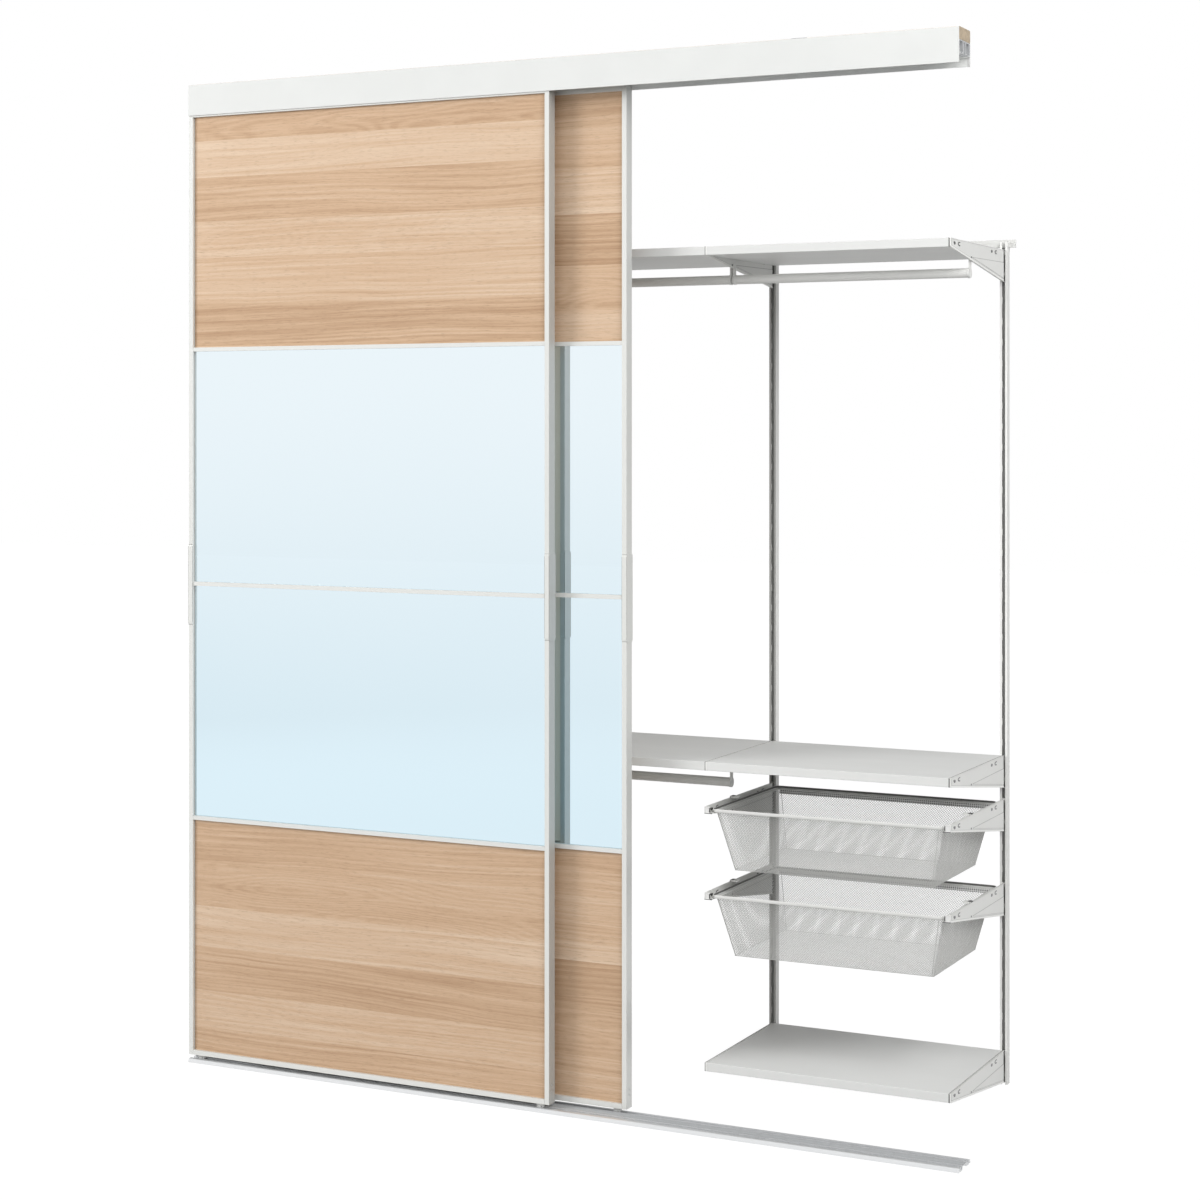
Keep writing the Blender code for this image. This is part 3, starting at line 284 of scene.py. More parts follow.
def add_block(name, x, y, z, edge, segments=1):
    """Box between two ends on each axis, in any order, with all its edges rounded."""
    deselect()
    low, high = (Vector([pick(ends) for ends in (x, y, z)]) for pick in (min, max))
    bpy.ops.mesh.primitive_cube_add(size=1, location=(low + high) / 2, scale=high - low)
    piece = settled(name)
    open_edit(piece, "EDGE", "SELECT")
    bpy.ops.mesh.bevel(offset=edge, segments=segments, affect="EDGES")
    close_edit()
    return piece


def add_prism(name, outline, axis, start, end):
    """Bar of an outline given across the axis, in the order X, Y, Z of what is left."""
    deselect()
    bpy.ops.mesh.primitive_circle_add(vertices=len(outline), radius=1, fill_type="NGON")
    piece = newest(name)
    place = "XYZ".index(axis)
    for vertex, (first, second) in zip(piece.data.vertices, outline):
        spot = [first, second]
        spot.insert(place, start)
        vertex.co = spot
    move = [0.0, 0.0, 0.0]
    move[place] = end - start
    open_edit(piece, action="SELECT")
    bpy.ops.mesh.extrude_region_move(TRANSFORM_OT_translate={"value": move})
    close_edit()
    outwards(piece)
    return piece


def add_rod(name, axis, start, radius, length, sides, edge=0.0):
    """Round bar along an axis from its start, with both rims rounded."""
    deselect()
    along = "XYZ".index(axis)
    turn = {"X": (0, math.pi / 2, 0), "Y": (math.pi / 2, 0, 0), "Z": (0, 0, 0)}[axis]
    middle = Vector(start)
    middle[along] += length / 2
    bpy.ops.mesh.primitive_cylinder_add(
        vertices=sides, radius=radius, depth=abs(length), location=middle, rotation=turn
    )
    piece = settled(name)
    if edge:
        open_edit(piece)
        pick_faces(piece, lambda middle, normal: abs(normal[along]) > 0.9)
        bpy.ops.mesh.bevel(offset=edge, segments=3, affect="EDGES")
        close_edit()
    return piece


def add_swept_ring(name, path, profile):
    """Closed ring whose section, given as (inward, up), follows a level closed path."""
    deselect()
    bpy.ops.mesh.primitive_torus_add(major_segments=len(path), minor_segments=len(profile))
    piece = newest(name)
    for n, vertex in enumerate(piece.data.vertices):
        step, corner = divmod(n, len(profile))
        point, inward = path[step]
        across, up = profile[corner]
        vertex.co = point + inward * across + Vector((0, 0, up))
    outwards(piece)
    return smoothed(piece, 50)


def joined(name, pieces):
    """Several pieces made one object."""
    take(pieces[0])
    for piece in pieces[1:]:
        piece.select_set(True)
    bpy.ops.object.join()
    return newest(name)


def copied(name, piece, move):
    """Copy with its own mesh, moved in its mesh."""
    take(piece)
    bpy.ops.object.duplicate(linked=False)
    bpy.ops.transform.translate(value=move)
    return settled(name)


def smoothed(piece, degrees=35):
    take(piece)
    bpy.ops.object.shade_smooth_by_angle(angle=math.radians(degrees))
    return piece


def dress(piece, finish, body):
    """Gives a finished piece its material and its body."""
    piece.data.materials.clear()
    piece.data.materials.append(FINISHES[finish])
    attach(piece, body)
    return piece


def rounded_path(low, high, height, corner, columns):
    """Points round a level rectangle with round corners, each with its inward direction."""
    along_x, along_y, turn = columns
    corners = (
        (high[0] - corner, low[1] + corner, -90, along_y),
        (high[0] - corner, high[1] - corner, 0, along_x),
        (low[0] + corner, high[1] - corner, 90, along_y),
        (low[0] + corner, low[1] + corner, 180, along_x),
    )
    points = []
    for n, (x, y, start, after) in enumerate(corners):
        for step in range(turn + 1):
            angle = math.radians(start + 90 * step / turn)
            out = Vector((math.cos(angle), math.sin(angle), 0))
            points.append((Vector((x, y, height)) + out * corner, -out))
        end, inward = points[-1]
        next_x, next_y = corners[(n + 1) % 4][:2]
        following = Vector((next_x, next_y, height)) - inward * corner
        for step in range(1, after):
            points.append((end.lerp(following, step / after), inward))
    return points


def arc(middle, across, up, start, end, steps):
    """Points along an arc of an oval, both ends included."""
    points = []
    for step in range(steps + 1):
        angle = math.radians(start + (end - start) * step / steps)
        points.append((middle[0] + across * math.cos(angle), middle[1] + up * math.sin(angle)))
    return points


def middle_of(node, axis):
    """Middle of a solid's box on an axis: X, Y or Z."""
    low, high = (corner["XYZ".index(axis)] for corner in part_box(node))
    return (low + high) / 2


def upright_places():
    """Places of the uprights' middles on X, from the left."""
    return sorted(middle_of(node, "X") for node in nodes_like("upright_"))


def nodes_like(*words):
    """Names of the solids that hold one of some words."""
    return [name for name in frame["nodes"] if any(word in name for word in words)]


# Finishes


def operation(kind, reflected=False):
    """Method of a Value that runs one operation of the Math node."""

    def maths(self, *others):
        terms = (*others, self) if reflected else (self, *others)
        return self.finish.node("ShaderNodeMath", {"operation": kind}, dict(enumerate(terms)))

    return maths


class Value:
    """A shader socket that takes part in sums."""

    def __init__(self, finish, socket):
        self.finish = finish
        self.socket = socket

    __add__ = __radd__ = operation("ADD")
    __sub__ = operation("SUBTRACT")
    __rsub__ = operation("SUBTRACT", reflected=True)
    __mul__ = __rmul__ = operation("MULTIPLY")
    __truediv__ = operation("DIVIDE")
    __gt__ = operation("GREATER_THAN")
    __lt__ = operation("LESS_THAN")
    at_least = operation("MAXIMUM")
    sine = operation("SINE")
    fraction = operation("FRACT")
    size = operation("ABSOLUTE")

    def steps(self, low, high):
        """Rises smoothly from 0 to 1 as this goes from low to high."""
        return self.between(low, high, 0.0, 1.0, "SMOOTHSTEP")

    def between(self, low, high, start, end, kind="LINEAR"):
        settings = {"interpolation_type": kind}
        values = {"Value": self, "From Min": low, "From Max": high, "To Min": start, "To Max": end}
        return self.finish.node("ShaderNodeMapRange", settings, values)


class Shading:
    """The nodes of a material or of the world."""

    def __init__(self, tree):
        self.tree = tree

    def feed(self, socket, value):
        if isinstance(value, Value):
            self.tree.links.new(value.socket, socket)
        elif socket.type == "RGBA":
            socket.default_value = (*value[:3], 1.0)
        else:
            socket.default_value = value

    def node(self, kind, settings=None, values=None, output=0):
        """Any node: its settings first, then the values or links of its sockets."""
        return self.outputs(kind, (output,), settings, values)[0]

    def outputs(self, kind, names, settings=None, values=None):
        """Several outputs of one node."""
        node = self.tree.nodes.new(kind)
        for name, value in (settings or {}).items():
            if name == "stops":
                self.set_stops(node.color_ramp, value)
            elif name == "ramp":
                node.color_ramp.interpolation = value
            else:
                setattr(node, name, value)
        for name, value in (values or {}).items():
            self.feed(node.inputs[name], value)
        return [Value(self, node.outputs[name]) for name in names]

    def set_stops(self, ramp, stops):
        while len(ramp.elements) < len(stops):
            ramp.elements.new(1.0)
        for element, (place, colour) in zip(ramp.elements, stops):
            element.position = place
            element.color = (*colour, 1.0)

    def place(self, kind="Object"):
        return self.node("ShaderNodeTexCoord", output=kind)

    def axes(self, kind="Object"):
        """Separate X, Y and Z of the place in the object."""
        return self.outputs("ShaderNodeSeparateXYZ", "XYZ", values={0: self.place(kind)})


class Finish(Shading):
    """A material under construction."""

    def __init__(self, name, **fixed):
        self.material = bpy.data.materials.new(name)
        self.material.use_nodes = True
        super().__init__(self.material.node_tree)
        self.shader = self.tree.nodes["Principled BSDF"]
        for socket, value in fixed.items():
            self.set(socket.replace("_", " "), value)

    def set(self, socket, value):
        self.feed(self.shader.inputs[socket], value)

    def vector(self, x, y, z):
        return self.node("ShaderNodeCombineXYZ", values={"X": x, "Y": y, "Z": z})

    def noise(self, vector, scale, detail=3.0, roughness=0.5):
        values = {"Vector": vector, "Scale": scale, "Detail": detail, "Roughness": roughness}
        return self.node("ShaderNodeTexNoise", {}, values)

    def stretched(self, scale, detail=3.0, roughness=0.5):
        """Noise in object coordinates scaled on each axis."""
        values = {"Vector": self.place(), "Scale": scale}
        return self.noise(self.node("ShaderNodeMapping", {}, values), 1.0, detail, roughness)

    def blend(self, factor, first, second):
        """Colour between two colours."""
        values = {0: factor, 6: first, 7: second}
        return self.node("ShaderNodeMix", {"data_type": "RGBA"}, values, output=2)

    def ramp(self, value, stops, kind="LINEAR"):
        return self.node("ShaderNodeValToRGB", {"stops": stops, "ramp": kind}, {"Fac": value})

    def bump(self, height, distance):
        values = {"Height": height, "Distance": distance, "Strength": 1.0}
        self.set("Normal", self.node("ShaderNodeBump", {}, values))

    def sprayed(self, colour):
        """Tone of sprayed enamel and its cloud, over an orange peel."""
        cloud = self.noise(self.place(), 9.0, 4.0)
        self.bump(self.noise(self.place(), 700.0, 2.0), 0.00004)
        return self.blend(cloud.steps(0.3, 0.7), shade(colour, 0.975), colour), cloud


def shade(colour, amount):
    """Colour made lighter or darker by a factor."""
    return tuple(channel * amount for channel in colour[:3])


def powder_coat(name, colour, roughness=0.42):
    """Sprayed enamel: fine orange peel with faint variation of tone and sheen; some callers give it
    colours of painted shade and of painted highlight.
    """
    finish = Finish(name, Metallic=0.0)
    finish.set("Base Color", finish.sprayed(colour)[0])
    finish.set("Roughness", roughness - 0.05 + 0.1 * finish.noise(finish.place(), 60.0))
    return finish.material


def upright_coat_and_shade(name, colour, lip, inner):
    """Powder coat with painted shade: greyer on the front lips of all but the last upright and inside the
    channels.
    """
    finish = Finish(name, Metallic=0.0)
    x, y, _ = finish.axes()
    coat, cloud = finish.sprayed(colour)
    places = upright_places()
    pitch = places[1] - places[0]
    across = ((((x - places[0]) / pitch + 0.5).fraction() - 0.5) * pitch).size()
    half, front = UPRIGHT_WIDTH / 2 - UPRIGHT_WALL, -UPRIGHT_DEPTH
    behind_teeth = (y > front + TOOTH_DEPTH + 0.0001) * (1.0 - (y > -0.0008))
    # painted shade inside the channels, behind the teeth
    inside = behind_teeth * (1.0 - (across > half + 0.0001))
    # painted shade on the front lips of all but the last upright
    lips = (y < front + UPRIGHT_WALL) * (y > front - 0.0005) * (across < half + 0.0011)
    coat = finish.blend(lips * (x < places[-1] - pitch / 2), coat, lip)
    finish.set("Base Color", finish.blend(inside, coat, inner))
    finish.set("Roughness", 0.4 + 0.1 * cloud + 0.1 * inside)
    return finish.material


def coated_board(name, colour):
    """Foil-coated board with a very fine pebbled print, and painted shade that makes its front face
    slightly darker.
    """
    finish = Finish(name, Metallic=0.0)
    # painted shade on the shelves' front faces
    edge = finish.axes()[1] < min(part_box(shelf)[0].y for shelf in nodes_like("shelf")) + 0.0004
    pebble = finish.noise(finish.place(), 420.0, 3.0, 0.6)
    cloud = finish.stretched((3.0, 9.0, 9.0))
    tone = 0.6 * cloud.steps(0.35, 0.65) + 0.4 * pebble
    foil = finish.blend(tone, shade(colour, 0.965), colour)
    finish.set("Base Color", finish.blend(edge, foil, shade(colour, 0.88)))
    finish.set("Roughness", 0.44 + 0.12 * pebble)
    finish.bump(pebble, 0.00005)
    return finish.material


def satin_metal(name, colour, grain, metallic=0.2, side=None, side_shade=1.0):
    """Anodised profile with a fine brushed grain along it, and painted shade that darkens it past a place
    on X.
    """
    finish = Finish(name, Metallic=metallic)
    lines = finish.stretched(grain, 3.0, 0.6)
    broad = finish.stretched(tuple(0.04 * scale for scale in grain), 2.0)
    brushed = finish.blend(0.5 * lines + 0.5 * broad, shade(colour, 0.93), shade(colour, 1.03))
    # painted shade on the outer side of a stile
    if side is not None:
        brushed = finish.blend(finish.axes()[0] > side, brushed, shade(colour, side_shade))
    finish.set("Base Color", brushed)
    finish.set("Roughness", 0.3 + 0.14 * lines)
    finish.bump(lines, 0.00002)
    return finish.material


def moulded(name, colour, roughness=0.5):
    """Moulded plastic or rubber with a fine spark texture, also used for dark strips of painted shade."""
    finish = Finish(name, Metallic=0.0)
    spark = finish.noise(finish.place(), 1500.0, 2.0, 0.7)
    finish.set("Base Color", finish.blend(spark.steps(0.3, 0.7), shade(colour, 0.92), colour))
    finish.set("Roughness", roughness - 0.06 + 0.12 * spark)
    finish.bump(spark, 0.00005)
    return finish.material


def dotted_band(name, colour, dark):
    """Band of painted shade with rows of small dark dots that stand for holes."""
    finish = Finish(name, Metallic=0.0, Roughness=0.5)
    x, _, z = finish.axes()
    turn = 2 * math.pi / BAND_PITCH
    dots = ((x * turn).sine() * (z * turn).sine()).size().steps(0.25, 0.6)
    finish.set("Base Color", finish.blend(dots, colour, dark))
    finish.bump(1.0 - dots, 0.0001)
    return finish.material


def zinc(name, colour):
    """Bright plated steel with a soft mottle, also given a dark colour as painted shade of holes."""
    finish = Finish(name, Metallic=1.0)
    mottle = finish.noise(finish.place(), 260.0)
    finish.set("Base Color", finish.blend(mottle, shade(colour, 0.85), colour))
    finish.set("Roughness", 0.26 + 0.16 * mottle)
    return finish.material


def silvered_glass(name, tint, reflection_low_tint, paint, painted_glow, middle_y):
    """Mirror: silvered in front with a painted reflection that darkens towards the foot, and backing
    paint behind that glows as painted light.
    """
    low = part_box("front_door_lower_mirror")[0].z
    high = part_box("front_door_upper_mirror")[1].z
    finish = Finish(name, IOR=1.5, Emission_Strength=1.0)
    _, y, z = finish.axes()
    ripple = finish.noise(finish.place(), 1.3, 2.0)
    rise = (z - low) / (high - low) + 0.12 * (ripple - 0.5)
    # painted reflection: the tint darkens towards the mirrors' foot
    silver_and_painted_reflection = finish.blend(rise.steps(0.0, 1.0), reflection_low_tint, tint)
    behind = y > middle_y
    finish.set("Base Color", finish.blend(behind, silver_and_painted_reflection, paint))
    finish.set("Metallic", 1.0 - behind)
    finish.set("Roughness", 0.015 + 0.5 * behind)
    # painted light: the backing paint glows
    finish.set("Emission Color", finish.blend(behind, (0.0, 0.0, 0.0), painted_glow))
    return finish.material


def pine_wood(name, light, dark):
    """Planed softwood with growth rings along the batten, darker at its right end."""
    finish = Finish(name, Metallic=0.0)
    end_grain = finish.axes()[0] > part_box("ceiling_batten")[1].x - 0.001
    rings = (finish.stretched((1.2, 16.0, 16.0), 2.0) * 14.0).fraction().steps(0.1, 0.9)
    fibre = finish.stretched((14.0, 600.0, 600.0))
    tone = 0.6 * rings + 0.4 * fibre
    planed = finish.blend(tone, light, dark)
    sawn = finish.blend(tone, shade(light, 0.72), shade(dark, 0.6))
    finish.set("Base Color", finish.blend(end_grain, planed, sawn))
    finish.set("Roughness", 0.55 + 0.12 * fibre)
    finish.bump(fibre, 0.00006)
    return finish.material


# Planks of the oak boards from the top: height, tone from light to dark, share of arched figure
PLANKS = {
    "front_door_top_panel": (
        (0.064, 0.58, 0.9), (0.098, 0.2, 0.2), (0.104, 0.56, 0.1),
        (0.098, 0.28, 0.3), (0.113, 0.36, 0.0), (0.104, 0.68, 0.0),
    ),
    "front_door_bottom_panel": (
        (0.110, 0.56, 0.1), (0.110, 0.5, 0.8), (0.102, 0.28, 0.2),
        (0.106, 0.6, 0.0), (0.094, 0.38, 0.3), (0.059, 0.56, 0.0),
    ),
    "rear_door_top_panel": (
        (0.075, 0.6, 0.1), (0.114, 0.44, 0.2), (0.100, 0.32, 0.0),
        (0.114, 0.74, 0.0), (0.104, 0.54, 0.9), (0.074, 0.38, 0.2),
    ),
    "rear_door_bottom_panel": (
        (0.058, 0.6, 0.1), (0.105, 0.46, 0.2), (0.108, 0.4, 0.0),
        (0.105, 0.74, 0.0), (0.108, 0.54, 0.9), (0.097, 0.46, 0.1),
    ),
}


def plank_of(finish, z, door):
    """Tone, share of arched figure and seed of the plank at a height."""
    names = [f"{door}_door_bottom_panel", f"{door}_door_top_panel"]
    foot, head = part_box(names[0])[0].z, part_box(names[1])[1].z
    stops = []
    for name in names:
        low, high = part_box(name)
        height = low.z
        scale = (high.z - low.z) / sum(plank[0] for plank in PLANKS[name])
        for size, tone, arches in reversed(PLANKS[name]):
            seed = (0.37 * (len(stops) + 1)) % 1.0
            stops.append(((height - foot) / (head - foot), (tone, arches, seed)))
            height += size * scale
    figure = finish.ramp((z - foot) / (head - foot), stops, "CONSTANT")
    return finish.outputs("ShaderNodeSeparateColor", ("Red", "Green", "Blue"), values={0: figure})


def oak_veneer(name, light, medium, dark, door):
    """White-stained oak in level planks, each with its own grain and figure."""
    finish = Finish(name, Metallic=0.0)
    x, _, z = finish.axes()
    tone, arches, seed = plank_of(finish, z, door)
    shift = x + 40.0 * seed

    def figure(along, up, detail, roughness=0.5):
        """Noise in the plank, with its own scale along and across the grain."""
        return finish.noise(finish.vector(shift * along, seed, up), 1.0, detail, roughness)

    sway = figure(1.1, z * 3.0, 1.0) - 0.5
    ripple = figure(6.0, z * 14.0, 1.0) - 0.5
    height = z + 0.05 * sway + 0.007 * ripple
    bands = figure(0.9, height * 26.0, 2.0) - 0.5
    lines = figure(1.6, height * 135.0, 2.0, 0.6) - 0.5
    fibre = figure(9.0, height * 520.0, 3.0, 0.7) - 0.5
    hill = figure(1.5, z * 9.0, 1.0)
    jitter = figure(55.0, z * 130.0, 2.0) - 0.5
    rings = (hill * 170.0 + 2.6 * jitter).sine()
    pores = figure(42.0, height * 900.0, 2.0, 0.6).steps(0.56, 0.68)
    grain = 0.55 * bands + (1.0 - 0.7 * arches) * 1.15 * lines + 0.09 * arches * rings
    colour = finish.ramp(tone + grain + 0.52 * fibre, ((0.0, light), (0.5, medium), (1.0, dark)))
    finish.set("Base Color", finish.blend(0.34 * pores, colour, shade(dark, 0.62)))
    finish.set("Roughness", 0.5 + 0.16 * fibre + 0.1 * pores)
    finish.bump(0.6 * fibre - 0.8 * pores, 0.00007)
    return finish.material


def linear(red, green, blue):
    """Linear colour of an sRGB one given in 0 to 255."""
    channels = []
    for value in (red, green, blue):
        share = value / 255
        channels.append(share / 12.92 if share <= 0.04045 else ((share + 0.055) / 1.055) ** 2.4)
    return tuple(channels)


# Settings


def colour_of(name, description, default):
    return bpy.props.FloatVectorProperty(
        name=name, description=description, default=default, subtype="COLOR", size=3, min=0.0, max=1.0
    )


def length_of(name, description, default):
    return bpy.props.FloatProperty(name=name, description=description, default=default, unit="LENGTH")


def light_of(name, description, default):
    return bpy.props.FloatProperty(name=name, description=description, default=default, min=0.0)


class FinishColours(bpy.types.PropertyGroup):
    """Colours of the closet's finishes."""

    enamel: colour_of("Enamel", "Powder coat of rails, uprights and brackets", (0.83, 0.832, 0.81))
    board: colour_of("Board", "Foil of the shelves", (0.81, 0.815, 0.80))
    frame: colour_of("Door frames", "Satin profiles round the panels", (0.74, 0.745, 0.72))
    fascia: colour_of("Fascia", "Painted fascias of the top track", (0.71, 0.72, 0.705))
    oak_light: colour_of("Oak, light", "Lightest tone of the oak", linear(216, 192, 167))
    oak_medium: colour_of("Oak, medium", "Middle tone of the oak", linear(200, 169, 139))
    oak_dark: colour_of("Oak, dark", "Darkest tone of the oak", linear(170, 136, 105))
    mirror: colour_of("Mirror", "Tint of the mirrors at their top", linear(235, 245, 250))
    # painted reflection: darker tint at the mirrors' foot
    mirror_low_reflection: colour_of("Mirror, low", "Tint of the mirrors at their foot", linear(213, 232, 241))
    pine: colour_of("Pine", "Timber of the ceiling batten", linear(228, 208, 180))


class BasketSizes(bpy.types.PropertyGroup):
    """Expanded metal of the baskets."""

    diamond_width: length_of("Diamond width", "Length of a diamond on the front and back", 0.0066)
    side_width: length_of("Side diamond width", "Length of a diamond on the side walls", 0.0105)
    diamond_height: length_of("Diamond height", "Height of a diamond up the walls", 0.0058)
    strand: length_of("Strand", "Thickness of the metal between diamonds", 0.00135)


class FittingSizes(bpy.types.PropertyGroup):
    """Small fittings."""

    screw_head: length_of("Screw head", "Width of the screws' heads", 0.0078)


class StudioSettings(bpy.types.PropertyGroup):
    """Light and floor."""

    front_light: light_of("Front light", "Strength of the even light from the front", 0.78)
    right_light: light_of("Right light", "Strength of the even light from the right", 0.571)
    left_light: light_of("Left light", "Strength of the even light from the left", 0.0)
    key_power: light_of("Key power", "Power of the soft lamp on the left, in watts", 258.0)
    fill_power: light_of("Fill power", "Power of the soft lamp on the right, in watts", 112.0)
    top_power: light_of("Top power", "Power of the high lamp, in watts", 50.0)
    floor: colour_of("Floor", "Colour of the floor", (0.5, 0.5, 0.5))


FINISHES = {}


def settings(name):
    return getattr(bpy.context.scene, f"closet_{name}")


# Finishes of the solids


def bevelled(names, width):
    """Softens solids' edges without touching their own meshes."""
    for name in names:
        solid = frame["nodes"][name]
        solid.modifiers.new("weld", "WELD").merge_threshold = WELD
        edge = solid.modifiers.new("edge", "BEVEL")
        edge.width = width
        edge.segments = 2
        edge.limit_method = "ANGLE"
        edge.angle_limit = math.radians(40)
        edge.harden_normals = True


def finish_nodes(names, finish):
    for name in names:
        solid = frame["nodes"][name]
        solid.data.materials.clear()
        solid.data.materials.append(FINISHES[finish])


class CLOSET_OT_mix_finishes(bpy.types.Operator):
    """Mix the closet's finishes"""

    bl_idname = "closet.mix_finishes"
    bl_label = "Mix finishes"

    def execute(self, context):
        colours = settings("colours")
        enamel, fascia = colours.enamel, colours.fascia
        along_z, along_x = (900, 900, 6), (6, 900, 900)
        FINISHES.update(
            enamel=powder_coat("white_powder_coat", enamel),
            # lip and inner are colours of painted shade on the uprights
            upright=upright_coat_and_shade(
                "upright_powder_coat", enamel, lip=(0.42, 0.42, 0.41), inner=(0.6, 0.605, 0.59)
            ),
            # crease: painted shade along the brackets' pressed creases
            crease=powder_coat("pressed_crease", shade(enamel, 0.62)),
            # hem: painted highlight, a lighter copy of the enamel along the brackets' hem
            hem=powder_coat("folded_hem", shade(enamel, 1.16)),
            # slot_shade: painted shade, a near-black strip where the bracket meets the upright's slot
            slot_shade=powder_coat("slot_shade", (0.02, 0.02, 0.019), 0.8),
            # net: darker copy of the enamel, partly the strands' raw cut edges and partly painted shade
            # between the strands
            net=powder_coat("expanded_metal_coat", shade(enamel, 0.7)),
            # rim: painted shade, a darker copy of the enamel, used on the basket rims and the wall rail
            rim=powder_coat("rim_coat", shade(enamel, 0.84)),
            # rim_lining: painted shade inside the rim's channel
            rim_lining=moulded("rim_lining", (0.13, 0.13, 0.125), 0.6),
            # band: painted shade below the rims' flange, dotted as holes
            band=dotted_band("rim_band", (0.72, 0.72, 0.71), (0.22, 0.22, 0.22)),
            board=coated_board("white_board_foil", colours.board),
            upright_bar=satin_metal("satin_frame_upright", colours.frame, along_z),
            level_bar=satin_metal("satin_frame_level", colours.frame, along_x),
            track=satin_metal("satin_track", (0.78, 0.79, 0.80), (5, 900, 900), 0.6),
            fascia=powder_coat("fascia_paint", fascia, 0.4),
            # rear_fascia: painted light, a lighter copy of the fascia paint that lifts the shadow of the
            # front fascia
            rear_fascia=powder_coat("rear_fascia_paint", shade(fascia, 1.28), 0.4),
            pine=pine_wood("planed_pine", colours.pine, shade(colours.pine, 0.82)),
            white_plastic=moulded("white_moulding", (0.78, 0.78, 0.77)),
            grey_nylon=moulded("grey_nylon_moulding", (0.2, 0.205, 0.21)),
            # joint: dark joints along the shelves' tops and painted shade on the brackets' front ends
            joint=moulded("shelf_joint", (0.24, 0.24, 0.235), 0.7),
            # dark_clip: the dark stop clips, and painted shade beside and under the runner caps
            dark_clip=moulded("dark_clip", (0.06, 0.06, 0.06), 0.6),
            # grip_seam: dark seals and seams, and painted shade along the grips
            grip_seam=moulded("grip_seam", (0.3, 0.3, 0.29), 0.55),
            grey_strip=moulded("grey_strip", (0.42, 0.43, 0.44), 0.55),
            zinc=zinc("plated_steel", (0.74, 0.75, 0.76)),
            # dark_zinc: painted shade of the holes in the brackets' sides
            dark_zinc=zinc("dark_plated_steel", (0.2, 0.2, 0.2)),
        )
        oak = (colours.oak_light, colours.oak_medium, colours.oak_dark)
        # the backing paint is lightened and glows, painted light seen in the mirrors' reflections of the
        # doors' backs
        glass = (colours.mirror, colours.mirror_low_reflection, (0.82, 0.815, 0.79), (0.15, 0.125, 0.092))
        # the second number is painted shade on each right stile's outer side
        for door, side_painted_shade in (("front", 0.64), ("rear", 0.92)):
            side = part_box(f"{door}_door_right_stile")[1].x - 0.0021
            stile = (f"satin_{door}_stile", colours.frame, along_z, 0.2, side, side_painted_shade)
            FINISHES[f"{door}_right_stile"] = satin_metal(*stile)
            FINISHES[f"{door}_oak"] = oak_veneer(f"{door}_stained_oak", *oak, door)
            middle = middle_of(f"{door}_door_upper_mirror", "Y")
            FINISHES[f"{door}_mirror"] = silvered_glass(f"{door}_mirror_glass", *glass, middle)
        return {"FINISHED"}


class CLOSET_OT_finish_wall_unit(bpy.types.Operator):
    """Finish the rail, uprights, brackets and shelves"""

    bl_idname = "closet.finish_wall_unit"
    bl_label = "Finish wall unit"

    def execute(self, context):
        finish_nodes(nodes_like("bracket", "clothes_rail"), "enamel")
        finish_nodes(nodes_like("upright_"), "upright")
        finish_nodes(["wall_rail"], "rim")
        finish_nodes(nodes_like("shelf"), "board")
        bevelled(nodes_like("upright_", "wall_rail"), STEEL_EDGE)
        bevelled(nodes_like("shelf"), BOARD_EDGE)
        return {"FINISHED"}


class CLOSET_OT_finish_doors(bpy.types.Operator):
    """Finish the sliding doors' frames, boards, mirrors, rollers and guides"""

    bl_idname = "closet.finish_doors"
    bl_label = "Finish doors"

    def execute(self, context):
        level_bars = nodes_like("door_top_rail", "bottom_rail", "divider")
        finish_nodes(level_bars, "level_bar")
        finish_nodes(nodes_like("roller"), "white_plastic")
        finish_nodes(nodes_like("sprung_guide"), "grey_nylon")
        for door in DOORS:
            finish_nodes([f"{door}_door_left_stile"], "upright_bar")
            finish_nodes([f"{door}_door_right_stile"], f"{door}_right_stile")
            finish_nodes(nodes_like(f"{door}_door_top_panel", f"{door}_door_bottom_panel"), f"{door}_oak")
            mirrors = nodes_like(f"{door}_door_upper_mirror", f"{door}_door_lower_mirror")
            finish_nodes(mirrors, f"{door}_mirror")
        bevelled([*nodes_like("stile"), *level_bars], BOARD_EDGE)
        return {"FINISHED"}


class CLOSET_OT_finish_tracks(bpy.types.Operator):
    """Finish the tracks, fascias and batten"""

    bl_idname = "closet.finish_tracks"
    bl_label = "Finish tracks"

    def execute(self, context):
        finish_nodes(["top_track", "floor_track"], "track")
        finish_nodes(["front_fascia"], "fascia")
        finish_nodes(["rear_fascia"], "rear_fascia")
        finish_nodes(["ceiling_batten"], "pine")
        bevelled(["front_fascia", "rear_fascia", "floor_track", "top_track"], STEEL_EDGE)
        return {"FINISHED"}


# Baskets


def basket_corners(node, inset):
    """Low and high corners of a basket's plan, drawn in by an inset."""
    low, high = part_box(node)
    return (low.x + inset, low.y + inset), (high.x - inset, high.y - inset)


def floor_corners(node):
    """Low and high corners of a basket's floor."""
    low, high = basket_corners(node, WALL_INSET)
    return (low[0] + SIDE_TAPER, low[1] + END_TAPER), (high[0] - SIDE_TAPER, high[1] - END_TAPER)


def rim_path(node):
    """Points round a basket's outer edge, at its top."""
    low, high = basket_corners(node, 0.0)
    return rounded_path(low, high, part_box(node)[1].z, RIM_CORNER, (6, 4, 8))


